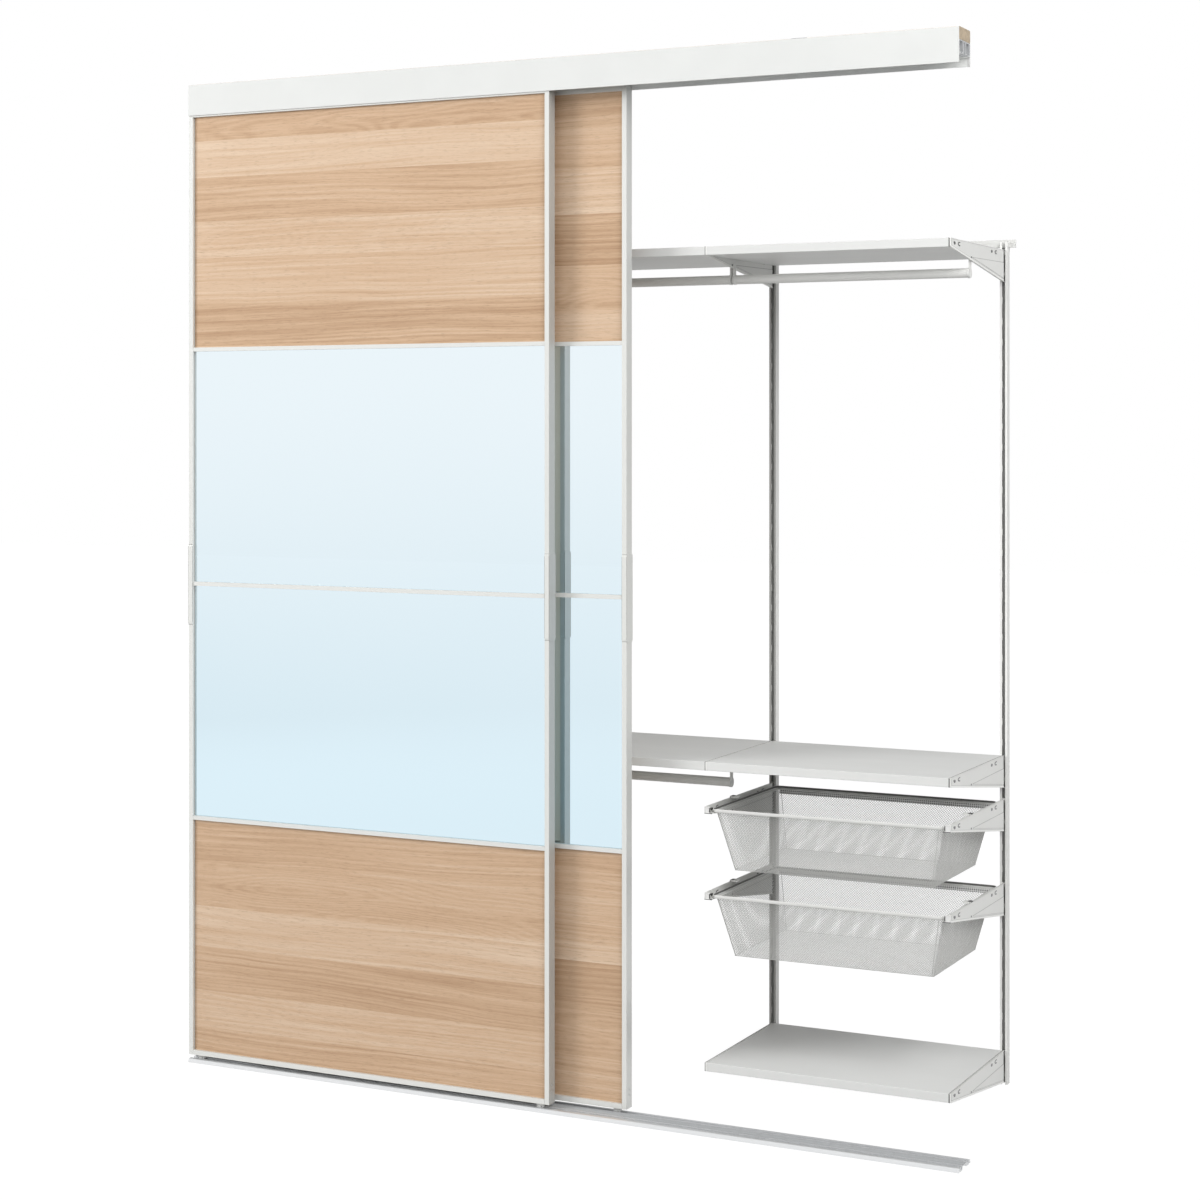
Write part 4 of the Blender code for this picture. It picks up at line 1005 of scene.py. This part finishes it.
def add_basket_rim(node):
    """Angle-shaped rim with the flange that the walls hang from."""
    foot, reach = -RIM_HEIGHT, WALL_INSET + RIM_FLANGE
    ledge = foot + RIM_FLANGE
    section = [
        (0.0018, foot), (0.0008, foot + 0.0004), (0.0, foot + 0.0017), (0.0, -0.0007),
        (0.0003, -0.0002), (0.0008, 0.0), (0.0013, -0.0002), (0.0016, -0.0007),
        (0.0016, ledge + 0.0006), (0.0022, ledge), (reach, ledge), (reach, foot),
    ]
    return add_swept_ring(f"{node}_rim", rim_path(node), section)


def add_rim_shade_lining(node):
    """Dark strip of painted shade that lines the rim's inner face."""
    section = [
        (0.0015, -0.0048), (0.0015, -0.0006), (0.0022, -0.0008), (0.0024, -0.0030), (0.0022, -0.0047)
    ]
    return add_swept_ring(f"{node}_rim_lining", rim_path(node), section)


def add_rim_band(node):
    """Dotted band of painted shade below the flange at the back, inside the wall."""
    base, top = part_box(node)
    low, high = basket_corners(node, WALL_INSET + BAND_END)
    foot = top.z - RIM_HEIGHT
    lean = BAND_HEIGHT * END_TAPER / (foot - base.z)
    back = top.y - WALL_INSET - RIM_FLANGE
    front = back - BAND_WALL
    outline = [
        (back, foot - BAND_DROP),
        (front, foot - BAND_DROP),
        (front - lean, foot - BAND_HEIGHT),
        (back - lean, foot - BAND_HEIGHT),
    ]
    return add_prism(f"{node}_rim_band", outline, "X", low[0], high[0])


def diamonds(piece):
    """Turns a grid's faces into diamonds round its old edges, then into strands."""
    count = len(piece.data.vertices)
    open_edit(piece, action="SELECT")
    bpy.ops.mesh.poke()
    bpy.ops.mesh.select_mode(type="EDGE")
    bpy.ops.mesh.select_all(action="DESELECT")
    shape = bmesh.from_edit_mesh(piece.data)
    shape.verts.index_update()
    for edge in shape.edges:
        old = all(vertex.index < count for vertex in edge.verts)
        edge.select_set(old and len(edge.link_faces) == 2)
    bmesh.update_edit_mesh(piece.data)
    bpy.ops.mesh.dissolve_edges(use_verts=False)
    close_edit()
    strands = piece.modifiers.new("strands", "WIREFRAME")
    strands.thickness = settings("baskets").strand
    strands.use_replace = True
    strands.use_boundary = True
    strands.use_even_offset = False
    take(piece)
    bpy.ops.object.modifier_apply(modifier="strands")
    return piece


def add_grid(name, columns, rows, place):
    """Sheet of cells, whose corners are placed by their shares of the width and the height."""
    deselect()
    bpy.ops.mesh.primitive_grid_add(x_subdivisions=columns, y_subdivisions=rows, size=1)
    piece = newest(name)
    for vertex in piece.data.vertices:
        vertex.co = place(vertex.co.x + 0.5, vertex.co.y + 0.5)
    return piece


def wall_rings(node):
    """Points round the top and the foot of a basket's walls, column by column."""
    sizes = settings("baskets")
    base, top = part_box(node)
    low, high = basket_corners(node, WALL_INSET)
    columns = (
        round((high[0] - low[0]) / sizes.diamond_width) - CORNER_COLUMNS,
        round((high[1] - low[1]) / sizes.side_width) - CORNER_COLUMNS,
        CORNER_COLUMNS,
    )
    rim = rounded_path(low, high, top.z - RIM_HEIGHT, WALL_CORNER, columns)
    foot = rounded_path(*floor_corners(node), base.z + sizes.strand / 2, LOW_CORNER, columns)
    return [point for point, _ in rim], [point for point, _ in foot]


def add_basket_walls(node, name, half):
    """Two of the four sloping walls of expanded metal: half 0 or 1 of the way round."""
    rim, foot = wall_rings(node)
    columns = len(rim) // 2
    rows = round((rim[0].z - foot[0].z) / settings("baskets").diamond_height)

    def place(across, up):
        column = (half * columns + round(across * columns)) % len(rim)
        return rim[column].lerp(foot[column], 1.0 - up)

    piece = add_grid(f"{node}_{name}_walls", columns, rows, place)
    outwards(piece)
    return diamonds(piece)


def add_basket_floor(node):
    """Flat floor of expanded metal."""
    sizes = settings("baskets")
    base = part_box(node)[0].z
    low, high = floor_corners(node)
    width, depth = high[0] - low[0], high[1] - low[1]
    cells = round(width / sizes.diamond_width), round(depth / sizes.diamond_height)

    def place(across, up):
        return low[0] + across * width, low[1] + up * depth, base + sizes.strand / 2

    piece = diamonds(add_grid(f"{node}_floor", *cells, place))
    for vertex in piece.data.vertices:
        vertex.co.z = base + FLOOR_FLATNESS * (vertex.co.z - base)
    return piece


class CLOSET_OT_add_baskets(bpy.types.Operator):
    """Add the expanded-metal baskets"""

    bl_idname = "closet.add_baskets"
    bl_label = "Add baskets"

    def execute(self, context):
        for node in ("upper_basket", "lower_basket"):
            walls = [add_basket_walls(node, name, half) for half, name in enumerate(("back", "front"))]
            for piece in (*walls, add_basket_floor(node)):
                dress(piece, "net", node)
            rim = dress(add_basket_rim(node), "rim", node)
            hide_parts(node)
            dress(add_rim_shade_lining(node), "rim_lining", node)
            dress(add_rim_band(node), "band", node)
        return {"FINISHED"}


# Clothes rails and screws


def plate_outline(middle, top, bottom):
    """Hanging plate seen from its side: a strap with a round foot."""
    radius = PLATE_WIDTH / 2
    meet = math.degrees(math.acos(STRAP_HALF / radius))
    foot = arc((middle, bottom + radius), radius, radius, meet, -180 - meet, 28)
    return [(middle - STRAP_HALF, top), (middle + STRAP_HALF, top), *foot]


def add_clothes_rail(node):
    """Rod between two hanging plates, with a collar at each."""
    low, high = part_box(node)
    middle, axis = middle_of(node, "Y"), low.z + PLATE_WIDTH / 2
    shelf_low, shelf_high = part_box("top_shelf_right")
    half = (shelf_high.x - shelf_low.x) / 2
    mid_x = middle_of(node, "X")
    start = (mid_x - half + ROD_END, middle, axis)
    pieces = [add_rod(node, "X", start, ROD_RADIUS, 2 * (half - ROD_END), 40)]
    for side in (-1, 1):
        outer = mid_x + side * half
        inner = outer - side * PLATE_THICKNESS
        outline = plate_outline(middle, high.z - PLATE_DROP, low.z)
        pieces.append(add_prism("plate", outline, "X", outer, inner))
        spot = (min(inner, inner - side * COLLAR_LENGTH), middle, axis)
        pieces.append(add_rod("collar", "X", spot, COLLAR_RADIUS, COLLAR_LENGTH, 40, COLLAR_EDGE))
    return smoothed(joined(f"{node}_dressed", pieces))


class CLOSET_OT_add_clothes_rails(bpy.types.Operator):
    """Add the round clothes rails"""

    bl_idname = "closet.add_clothes_rails"
    bl_label = "Add clothes rails"

    def execute(self, context):
        for node in nodes_like("clothes_rail"):
            rail = dress(add_clothes_rail(node), "enamel", WALL_UNIT)
            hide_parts(node)
        return {"FINISHED"}


def add_screw(name, place, radius, length):
    """Pan-head screw seen from -Y, with a round recess, its head's back at the place."""
    screw = add_rod(name, "Y", place, radius, -length, 20, 0.28 * length)
    front = min(vertex.co.y for vertex in screw.data.vertices)
    recess(
        screw, lambda middle, normal: normal.y < -0.9 and abs(middle.y - front) < 1e-5,
        radius * 0.36, (0, 0.45 * length, 0),
    )
    return smoothed(screw)


class CLOSET_OT_add_fasteners(bpy.types.Operator):
    """Add the screws in the uprights and the wall rail"""

    bl_idname = "closet.add_fasteners"
    bl_label = "Add fasteners"

    def execute(self, context):
        first = add_screw("screw", (0, 0, 0), settings("fittings").screw_head / 2, SCREW_LENGTH)
        for upright in nodes_like("upright_"):
            x, back = middle_of(upright, "X"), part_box(upright)[1].y
            heights = [FLOOR + WALL_SCREW_TOP - row * WALL_SCREW_PITCH for row in range(WALL_SCREWS)]
            screws = [copied("screw", first, (x, back - UPRIGHT_WALL, height)) for height in heights]
            piece = smoothed(joined(f"{upright}_screws", screws))
            dress(piece, "enamel", WALL_UNIT)
        high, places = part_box("wall_rail")[1], upright_places()
        y, z = high.y - RAIL_WALL, high.z - RAIL_SCREW_DROP
        middles = [(left + right) / 2 for left, right in zip(places, places[1:])]
        piece = smoothed(joined("wall_rail_screws", [copied("screw", first, (x, y, z)) for x in middles]))
        dress(piece, "zinc", WALL_UNIT)
        bpy.data.objects.remove(first)
        return {"FINISHED"}


# Brackets


def bracket_places(bracket):
    """Middle of a bracket's plate, its top and the height of its front end."""
    left = bracket.endswith(("left", "mid_right"))
    middle = middle_of("upright_mid_right" if left else "upright_right_end", "X")
    basket = "basket" in bracket
    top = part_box(bracket)[1].z - (CLIP_RISE if basket else 0.0)
    return middle, top, BASKET_BRACKET_FRONT if basket else BRACKET_FRONT


def add_lug(spot, start, end):
    """C-shaped lug pressed out of a bracket's side, open towards the wall."""
    outline = arc(spot, *LUG_OUTER, 60, 300, 12) + arc(spot, *LUG_INNER, 300, 60, 12)
    return add_prism("lug", outline, "X", start, end)


def add_pins(bracket):
    """Pins, peg and lugs in the sides of a bracket, dark as painted shade of the holes they are pressed
    from.
    """
    middle, top, front_height = bracket_places(bracket)
    front, back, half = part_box(bracket)[0].y, -UPRIGHT_DEPTH, BRACKET_WIDTH / 2
    level = top - PIN_DROP
    ovals = (
        ((front + PIN_FRONT, level), PIN_SIZE),
        ((back - PIN_BACK - PIN_STEP, level), PIN_SIZE),
        ((front + TRIANGLE_START - PEG_LEAD, top - front_height * 0.9 - PEG_DROP), PEG_SIZE),
    )
    pieces = []
    for spot, size in ovals:
        ends = middle - half + PIN_SINK, middle + half - PIN_SINK
        pieces.append(add_prism("pin", arc(spot, *size, 0, 345, 23), "X", *ends))
    for y in (front + PIN_FRONT + PIN_STEP, back - PIN_BACK):
        for side in (-1, 1):
            ends = sorted(middle + side * (half - depth) for depth in LUG_DEPTHS)
            pieces.append(add_lug((y, level), *ends))
    return joined(f"{bracket}_pins", pieces)


def add_lines(name, bracket, outlines, lift):
    """Thin strips laid on both sides of a bracket, their outer faces at a lift from its plate."""
    middle = bracket_places(bracket)[0]
    pieces = []
    for side in (-1, 1):
        face = middle + side * (BRACKET_WIDTH / 2 + lift)
        for outline in outlines:
            pieces.append(add_prism(name, outline, "X", face - side * LINE_THICKNESS, face))
    return joined(f"{bracket}_{name}_lines", pieces)


def bracket_lines(bracket):
    """Outlines on a bracket's side: painted shade along the pressed creases, painted highlight on the hem
    and painted shade at the slot.
    """
    _, top, front_height = bracket_places(bracket)
    front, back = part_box(bracket)[0].y, -UPRIGHT_DEPTH - 0.0003
    slope = (BRACKET_HEIGHT - front_height) / (back - front)
    ahead, behind = front + CREASE_END, back - CREASE_END
    inner, apex = behind - CREASE_END, front + TRIANGLE_START
    half = CREASE_WIDTH / 2
    high = CREASE_HEM + TRIANGLE_RISE
    rear_top = top - TRIANGLE_DROP

    def above(y, height):
        """Point at a height above the sloping lower edge."""
        return (y, top + height - front_height - slope * (y - front))

    def along(start, end, low, high):
        """Line between two heights above the lower edge."""
        return [above(start, low), above(end, low), above(end, high), above(start, high)]

    def upright(start, end, head, foot):
        """Line from a level head down to a height above the lower edge."""
        return [(start, head), (end, head), above(end, foot), above(start, foot)]

    # painted shade along the creases
    creases = [
        along(ahead, behind, CREASE_HEM - half, CREASE_HEM + half),
        along(apex, inner, high - half, high + half),
        [
            above(apex, high),
            (inner, rear_top),
            (inner, rear_top + CREASE_WIDTH),
            (apex, above(apex, high)[1] + CREASE_WIDTH),
        ],
        upright(ahead, ahead + CREASE_DEEP, top - CREASE_TOP, CREASE_HEM),
        upright(inner - CREASE_DEEP, inner, rear_top, high),
    ]
    # painted highlight along the hem and down the front end
    hem_front, hem_back = front + HEM_GAP, ahead - HEM_GAP
    hem = [
        along(ahead, behind, HEM_FOOT, CREASE_HEM - half),
        [
            (hem_front, top - CREASE_TOP),
            (hem_back, top - CREASE_TOP),
            above(hem_back, 0.0015),
            above(hem_front, 0.003),
        ],
    ]
    # painted shade at the bracket's back, beside the upright's slot
    slot = [
        [
            (back - SLOT_SHADE, top - 0.0005),
            (back, top - 0.0005),
            (back, top - BRACKET_HEIGHT + 0.001),
            (back - SLOT_SHADE, top - BRACKET_HEIGHT + 0.002),
        ]
    ]
    return ("crease", creases, -0.0002), ("hem", hem, 0.00005), ("slot_shade", slot, 0.0001)


def add_joint(bracket):
    """Shadow gap between a shelf and its bracket: painted shade down the bracket's front end, and a dark
    joint along the top.
    """
    middle, top, height = bracket_places(bracket)
    left, front = middle - BRACKET_WIDTH / 2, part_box(bracket)[0].y
    # painted shade on the bracket's front end, wider at the right-end brackets
    width = JOINT_FRONT if bracket.endswith("right_end") else JOINT_THIN
    x, y = (left - JOINT_SINK, left + width), (front - JOINT_SINK, front + 0.0002)
    down = add_block("down", x, y, (top - height, top - 0.0004), JOINT_EDGE)
    x, y = (left - 0.0005, left + JOINT_TOP), (front, -UPRIGHT_DEPTH - 0.002)
    along = add_block("along", x, y, (top - 0.0004, top + 0.0002), JOINT_EDGE)
    return smoothed(joined(f"{bracket}_joint", [down, along]))


class CLOSET_OT_add_bracket_fittings(bpy.types.Operator):
    """Add the brackets' pins, lugs, lines of painted shade and highlight and the shelves' joint strips"""

    bl_idname = "closet.add_bracket_fittings"
    bl_label = "Add bracket fittings"

    def execute(self, context):
        for bracket in nodes_like("_bracket_"):
            dress(add_pins(bracket), "dark_zinc", WALL_UNIT)
            for name, outlines, lift in bracket_lines(bracket):
                dress(add_lines(name, bracket, outlines, lift), name, WALL_UNIT)
            if "basket" not in bracket:
                dress(add_joint(bracket), "joint", WALL_UNIT)
        return {"FINISHED"}


def add_runner_cap(bracket, middle, side, top, front):
    """Moulded cap with a recessed face over a ledge's end."""
    half = BRACKET_WIDTH / 2
    x = (middle - side * (half + 0.0004), middle + side * (half + CAP_REACH))
    y, z = (front - CAP_PROUD, front - 0.0003), (top - CAP_HEIGHT, top - 0.0002)
    cap = add_block(f"{bracket}_cap", x, y, z, CAP_EDGE, 2)
    recess(cap, lambda middle, normal: normal.y < -0.99, CAP_RIM, (0, CAP_RECESS, 0))
    return smoothed(cap)


def add_runner_shadow(bracket, middle, side, top, front):
    """Painted shade: dark slit beside the cap and dark lip under it."""
    half = BRACKET_WIDTH / 2
    reach = middle + side * (half + CAP_REACH)
    x = (reach - side * SLIT_WIDTH, reach + side * 0.0004)
    z = [top - drop for drop in SLIT_DROPS]
    slit = add_block("slit", x, (front - SHADOW_PROUD, front), z, 0.0002)
    x = (middle - side * half, middle + side * (half + LIP_REACH))
    z = [top - drop for drop in LIP_DROPS]
    lip = add_block("lip", x, (front - SHADOW_PROUD, front + 0.001), z, 0.0002)
    return smoothed(joined(f"{bracket}_shadow_gap", [slit, lip]))


def add_stop_clip(bracket, middle, side, top, front):
    """Clip on the bracket's top that stops the basket."""
    half, y = BRACKET_WIDTH / 2, front + CLIP_PLACE
    x = (middle - side * (half + 0.0002), middle + side * (half + CLIP_REACH))
    z = (top + CLIP_LIFT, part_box(bracket)[1].z + 0.0002)
    return smoothed(add_block(f"{bracket}_clip", x, (y - CLIP_HALF, y + CLIP_HALF), z, 0.0009, 3))


class CLOSET_OT_add_basket_runners(bpy.types.Operator):
    """Add the end caps and stop clips of the basket brackets"""

    bl_idname = "closet.add_basket_runners"
    bl_label = "Add runner caps and clips"

    def execute(self, context):
        for bracket in nodes_like("basket_bracket"):
            middle, top, _ = bracket_places(bracket)
            side = 1 if bracket.endswith("left") else -1
            place = (bracket, middle, side, top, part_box(bracket)[0].y)
            dress(add_runner_cap(*place), "white_plastic", WALL_UNIT)
            dress(add_runner_shadow(*place), "dark_clip", WALL_UNIT)
            dress(add_stop_clip(*place), "dark_clip", WALL_UNIT)
        return {"FINISHED"}


# Trim of tracks and doors


def add_fascia_caps(name):
    """Caps at both ends of a fascia: behind the front one's face, and round the rear one's sheet."""
    low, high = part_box(name)
    if name == "front_fascia":
        y = (low.y + FASCIA_SINK, low.y + FASCIA_WALL + FASCIA_GROWTH)
    else:
        y = (high.y - FASCIA_WALL - FASCIA_GROWTH, high.y + FASCIA_GROWTH)
    z = (low.z - FASCIA_OVERHANG, high.z + FASCIA_OVERHANG)
    for end, start, side in (("left", low.x, 1), ("right", high.x, -1)):
        x = (start + side * FASCIA_END, start + side * FASCIA_CAP)
        cap = add_block(f"{name}_{end}_cap", x, y, z, FASCIA_EDGE, 2)
        dress(smoothed(cap), "white_plastic", WALL_UNIT)


def add_floor_strip():
    """Ribbed strip in the middle land of the floor track."""
    low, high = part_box("floor_track")
    middle, foot = middle_of("floor_track", "Y"), high.z - STRIP_DROP
    step = 2 * STRIP_HALF / STRIP_RIBS
    outline = [(middle - STRIP_HALF, foot)]
    for rib in range(STRIP_RIBS):
        start = middle - STRIP_HALF + step * rib
        outline += [(start + share * step, foot + rise) for share, rise in STRIP_RIB]
    outline.append((middle + STRIP_HALF, foot))
    strip = add_prism("floor_track_strip", outline, "X", low.x + STRIP_END, high.x - STRIP_END)
    return smoothed(strip)


class CLOSET_OT_add_track_trim(bpy.types.Operator):
    """Add the fascias' end caps and clip and the strip in the floor track"""

    bl_idname = "closet.add_track_trim"
    bl_label = "Add track trim"

    def execute(self, context):
        add_fascia_caps("front_fascia")
        add_fascia_caps("rear_fascia")
        low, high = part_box("front_fascia")
        y, z = [low.y + place for place in JOINT_CLIP_Y], (high.z, high.z + JOINT_CLIP_HEIGHT)
        clip = smoothed(add_block("fascia_joint_clip", JOINT_CLIP_X, y, z, 0.0003, 2))
        dress(clip, "grey_nylon", WALL_UNIT)
        dress(add_floor_strip(), "grey_strip", WALL_UNIT)
        return {"FINISHED"}


def add_side_screw(place, side):
    """Adjusting screw in a stile's side, its face towards -X or +X."""
    size = (SIDE_SCREW_RADIUS, side * SIDE_SCREW_LENGTH, 16, 0.0003)
    screw = add_rod("screw", "X", place, *size)
    move = (-side * SIDE_SCREW_RECESS, 0, 0)
    recess(screw, lambda middle, normal: normal.x * side > 0.9, SIDE_SCREW_RIM, move)
    return smoothed(screw)


def add_adjusting_screws(body):
    """Two screws at the foot of each stile, sunk in its outer side."""
    screws = []
    for end, side in (("left", -1), ("right", 1)):
        stile = f"{body}_{end}_stile"
        low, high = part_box(stile)
        x = (low if side < 0 else high).x - side * SIDE_SCREW_SINK
        for step in (0, 1):
            height = low.z + SIDE_SCREW_RISE + step * SIDE_SCREW_STEP
            screws.append(add_side_screw((x, middle_of(stile, "Y"), height), side))
    return smoothed(joined(f"{body}_adjusting_screws", screws))


def add_seals(body):
    """Thin dark seals along both stiles, between them and each board or mirror."""
    seals = []
    left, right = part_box(f"{body}_left_stile")[1].x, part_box(f"{body}_right_stile")[0].x
    for field in DOOR_FIELDS:
        low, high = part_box(f"{body}_{field}")
        y, z = (low.y - SEAL_PROUD, low.y), (low.z + SEAL_END, high.z - SEAL_END)
        for x in ((left, left + SEAL_WIDTH), (right - SEAL_WIDTH, right)):
            seals.append(add_block("seal", x, y, z, 0.0003))
    return smoothed(joined(f"{body}_seals", seals))


def add_grip_seams(body):
    """Dark strips round both stiles' grips, on the side that faces the room: painted shade of the grip's
    lips along its sides, and seams at its ends.
    """
    seams = []
    foot, head = (FLOOR + GRIP_MIDDLE + side * GRIP_HEIGHT / 2 for side in (-1, 1))
    for end in ("left", "right"):
        low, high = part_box(f"{body}_{end}_stile")
        front = low.y - SEAM_SINK
        y, z = (front, front + SEAM_DEPTH), (foot + GRIP_ROUND, head - GRIP_ROUND)
        # painted shade of the grip's lips along both sides of the stile
        for edge, side in ((low.x, 1), (high.x, -1)):
            start = edge + side * SEAM_SINK
            seams.append(add_block("seam", (start, start + side * SEAM_WIDTH), y, z, 0.0002))
        front = low.y + GRIP_PROUD
        x, y = (low.x + 0.0004, high.x - 0.0004), (front - 0.0003, front + 0.0004)
        for height in (foot + GRIP_END, head - GRIP_END):
            seams.append(add_block("seam", x, y, (height - 0.0005, height + 0.0005), 0.0001))
    return smoothed(joined(f"{body}_grip_seams", seams))


class CLOSET_OT_add_door_trim(bpy.types.Operator):
    """Add the doors' adjusting screws, seals, and the grips' seams and painted shade"""

    bl_idname = "closet.add_door_trim"
    bl_label = "Add door trim"

    def execute(self, context):
        for door in DOORS:
            body = f"{door}_door"
            dress(add_adjusting_screws(body), "zinc", body)
            dress(add_seals(body), "grip_seam", body)
            dress(add_grip_seams(body), "grip_seam", body)
        return {"FINISHED"}


# Studio


def add_floor(colour):
    """Pale floor that keeps the shadow and shows white to the camera and in reflections."""
    deselect()
    bpy.ops.mesh.primitive_plane_add(size=40, location=(0, 0, FLOOR - 0.0005))
    floor = settled("studio_floor")
    finish = Finish("studio_floor_paint", Roughness=0.9, Specular_IOR_Level=0.0)
    finish.set("Base Color", colour)
    camera, glossy = finish.outputs("ShaderNodeLightPath", ("Is Camera Ray", "Is Glossy Ray"))
    light = {"Color": (1.0, 1.0, 1.0), "Strength": FLOOR_WHITE}
    white = finish.node("ShaderNodeEmission", {}, light)
    paint = Value(finish, finish.shader.outputs[0])
    shares = {0: FLOOR_SHARE * (camera + glossy), 1: paint, 2: white}
    mix = finish.node("ShaderNodeMixShader", {}, shares)
    finish.feed(finish.tree.nodes["Material Output"].inputs["Surface"], mix)
    floor.data.materials.append(finish.material)


def set_world(front, right, left):
    """Soft light from the front and sides; the camera sees white, and gloss a bright front."""
    world = bpy.data.worlds.new("studio_world")
    world.use_nodes = True
    bpy.context.scene.world = world
    sky = Shading(world.node_tree)
    x, y, _ = sky.axes("Generated")
    camera, glossy = sky.outputs("ShaderNodeLightPath", ("Is Camera Ray", "Is Glossy Ray"))
    sides = right * x.at_least(0.0) + left * (0.0 - x).at_least(0.0)
    even = front * (0.0 - y).at_least(0.0) + sides
    sheen = y.between(-0.2, 0.6, 1.0, 0.5)
    background = world.node_tree.nodes["Background"]
    sky.feed(background.inputs["Color"], (1.0, 1.0, 1.0))
    strength = even + glossy * (sheen - even) + camera * (1.0 - even)
    sky.feed(background.inputs["Strength"], strength)


def add_lamp(name, place, size, power):
    deselect()
    bpy.ops.object.light_add(type="AREA", location=place)
    lamp = newest(name)
    lamp.data.shape = "DISK"
    lamp.data.size = size
    lamp.data.energy = power
    lamp.rotation_mode = "QUATERNION"
    lamp.rotation_quaternion = (Vector(LAMP_TARGET) - Vector(place)).to_track_quat("-Z", "Y")
    lamp.visible_glossy = False
    lamp.visible_camera = False


def add_camera():
    deselect()
    bpy.ops.object.camera_add(location=CAMERA_PLACE, rotation=CAMERA_TURN)
    camera = newest("photo_camera")
    camera.data.sensor_width = 36
    camera.data.lens = CAMERA_LENS
    camera.data.shift_y = CAMERA_SHIFT
    camera.data.clip_end = 200
    bpy.context.scene.camera = camera


class CLOSET_OT_add_stage(bpy.types.Operator):
    """Add the floor, light and camera"""

    bl_idname = "closet.add_stage"
    bl_label = "Add studio"

    def execute(self, context):
        studio = settings("studio")
        context.scene.view_settings.view_transform = "Standard"
        add_floor(studio.floor)
        set_world(studio.front_light, studio.right_light, studio.left_light)
        for name, place, size, power in LAMPS:
            add_lamp(name, place, size, getattr(studio, power))
        add_camera()
        return {"FINISHED"}


OPERATORS = (
    CLOSET_OT_mix_finishes,
    CLOSET_OT_finish_wall_unit,
    CLOSET_OT_finish_doors,
    CLOSET_OT_finish_tracks,
    CLOSET_OT_add_baskets,
    CLOSET_OT_add_clothes_rails,
    CLOSET_OT_add_fasteners,
    CLOSET_OT_add_bracket_fittings,
    CLOSET_OT_add_basket_runners,
    CLOSET_OT_add_track_trim,
    CLOSET_OT_add_door_trim,
    CLOSET_OT_add_stage,
)

GROUPS = {
    "colours": FinishColours,
    "baskets": BasketSizes,
    "fittings": FittingSizes,
    "studio": StudioSettings,
}


class CLOSET_PT_panel(bpy.types.Panel):
    """Closet tools in the sidebar"""

    bl_idname = "CLOSET_PT_panel"
    bl_label = "Closet"
    bl_space_type = "VIEW_3D"
    bl_region_type = "UI"
    bl_category = "Closet"

    def draw(self, context):
        for name in GROUPS:
            group = getattr(context.scene, f"closet_{name}")
            box = self.layout.box()
            for key in group.bl_rna.properties.keys():
                if key not in ("rna_type", "name"):
                    box.prop(group, key)
        for operator in OPERATORS:
            self.layout.operator(operator.bl_idname)


CLASSES = (*GROUPS.values(), *OPERATORS, CLOSET_PT_panel)


def register():
    for kind in CLASSES:
        bpy.utils.register_class(kind)
    for name, group in GROUPS.items():
        setattr(bpy.types.Scene, f"closet_{name}", bpy.props.PointerProperty(type=group))


def unregister():
    for name in GROUPS:
        delattr(bpy.types.Scene, f"closet_{name}")
    for kind in reversed(CLASSES):
        bpy.utils.unregister_class(kind)


def main():
    register()
    bpy.ops.closet.mix_finishes()
    bpy.ops.closet.finish_wall_unit()
    bpy.ops.closet.finish_doors()
    bpy.ops.closet.finish_tracks()
    bpy.ops.closet.add_baskets()
    bpy.ops.closet.add_clothes_rails()
    bpy.ops.closet.add_fasteners()
    bpy.ops.closet.add_bracket_fittings()
    bpy.ops.closet.add_basket_runners()
    bpy.ops.closet.add_track_trim()
    bpy.ops.closet.add_door_trim()
    bpy.ops.closet.add_stage()


if __name__ == "__main__":
    main()
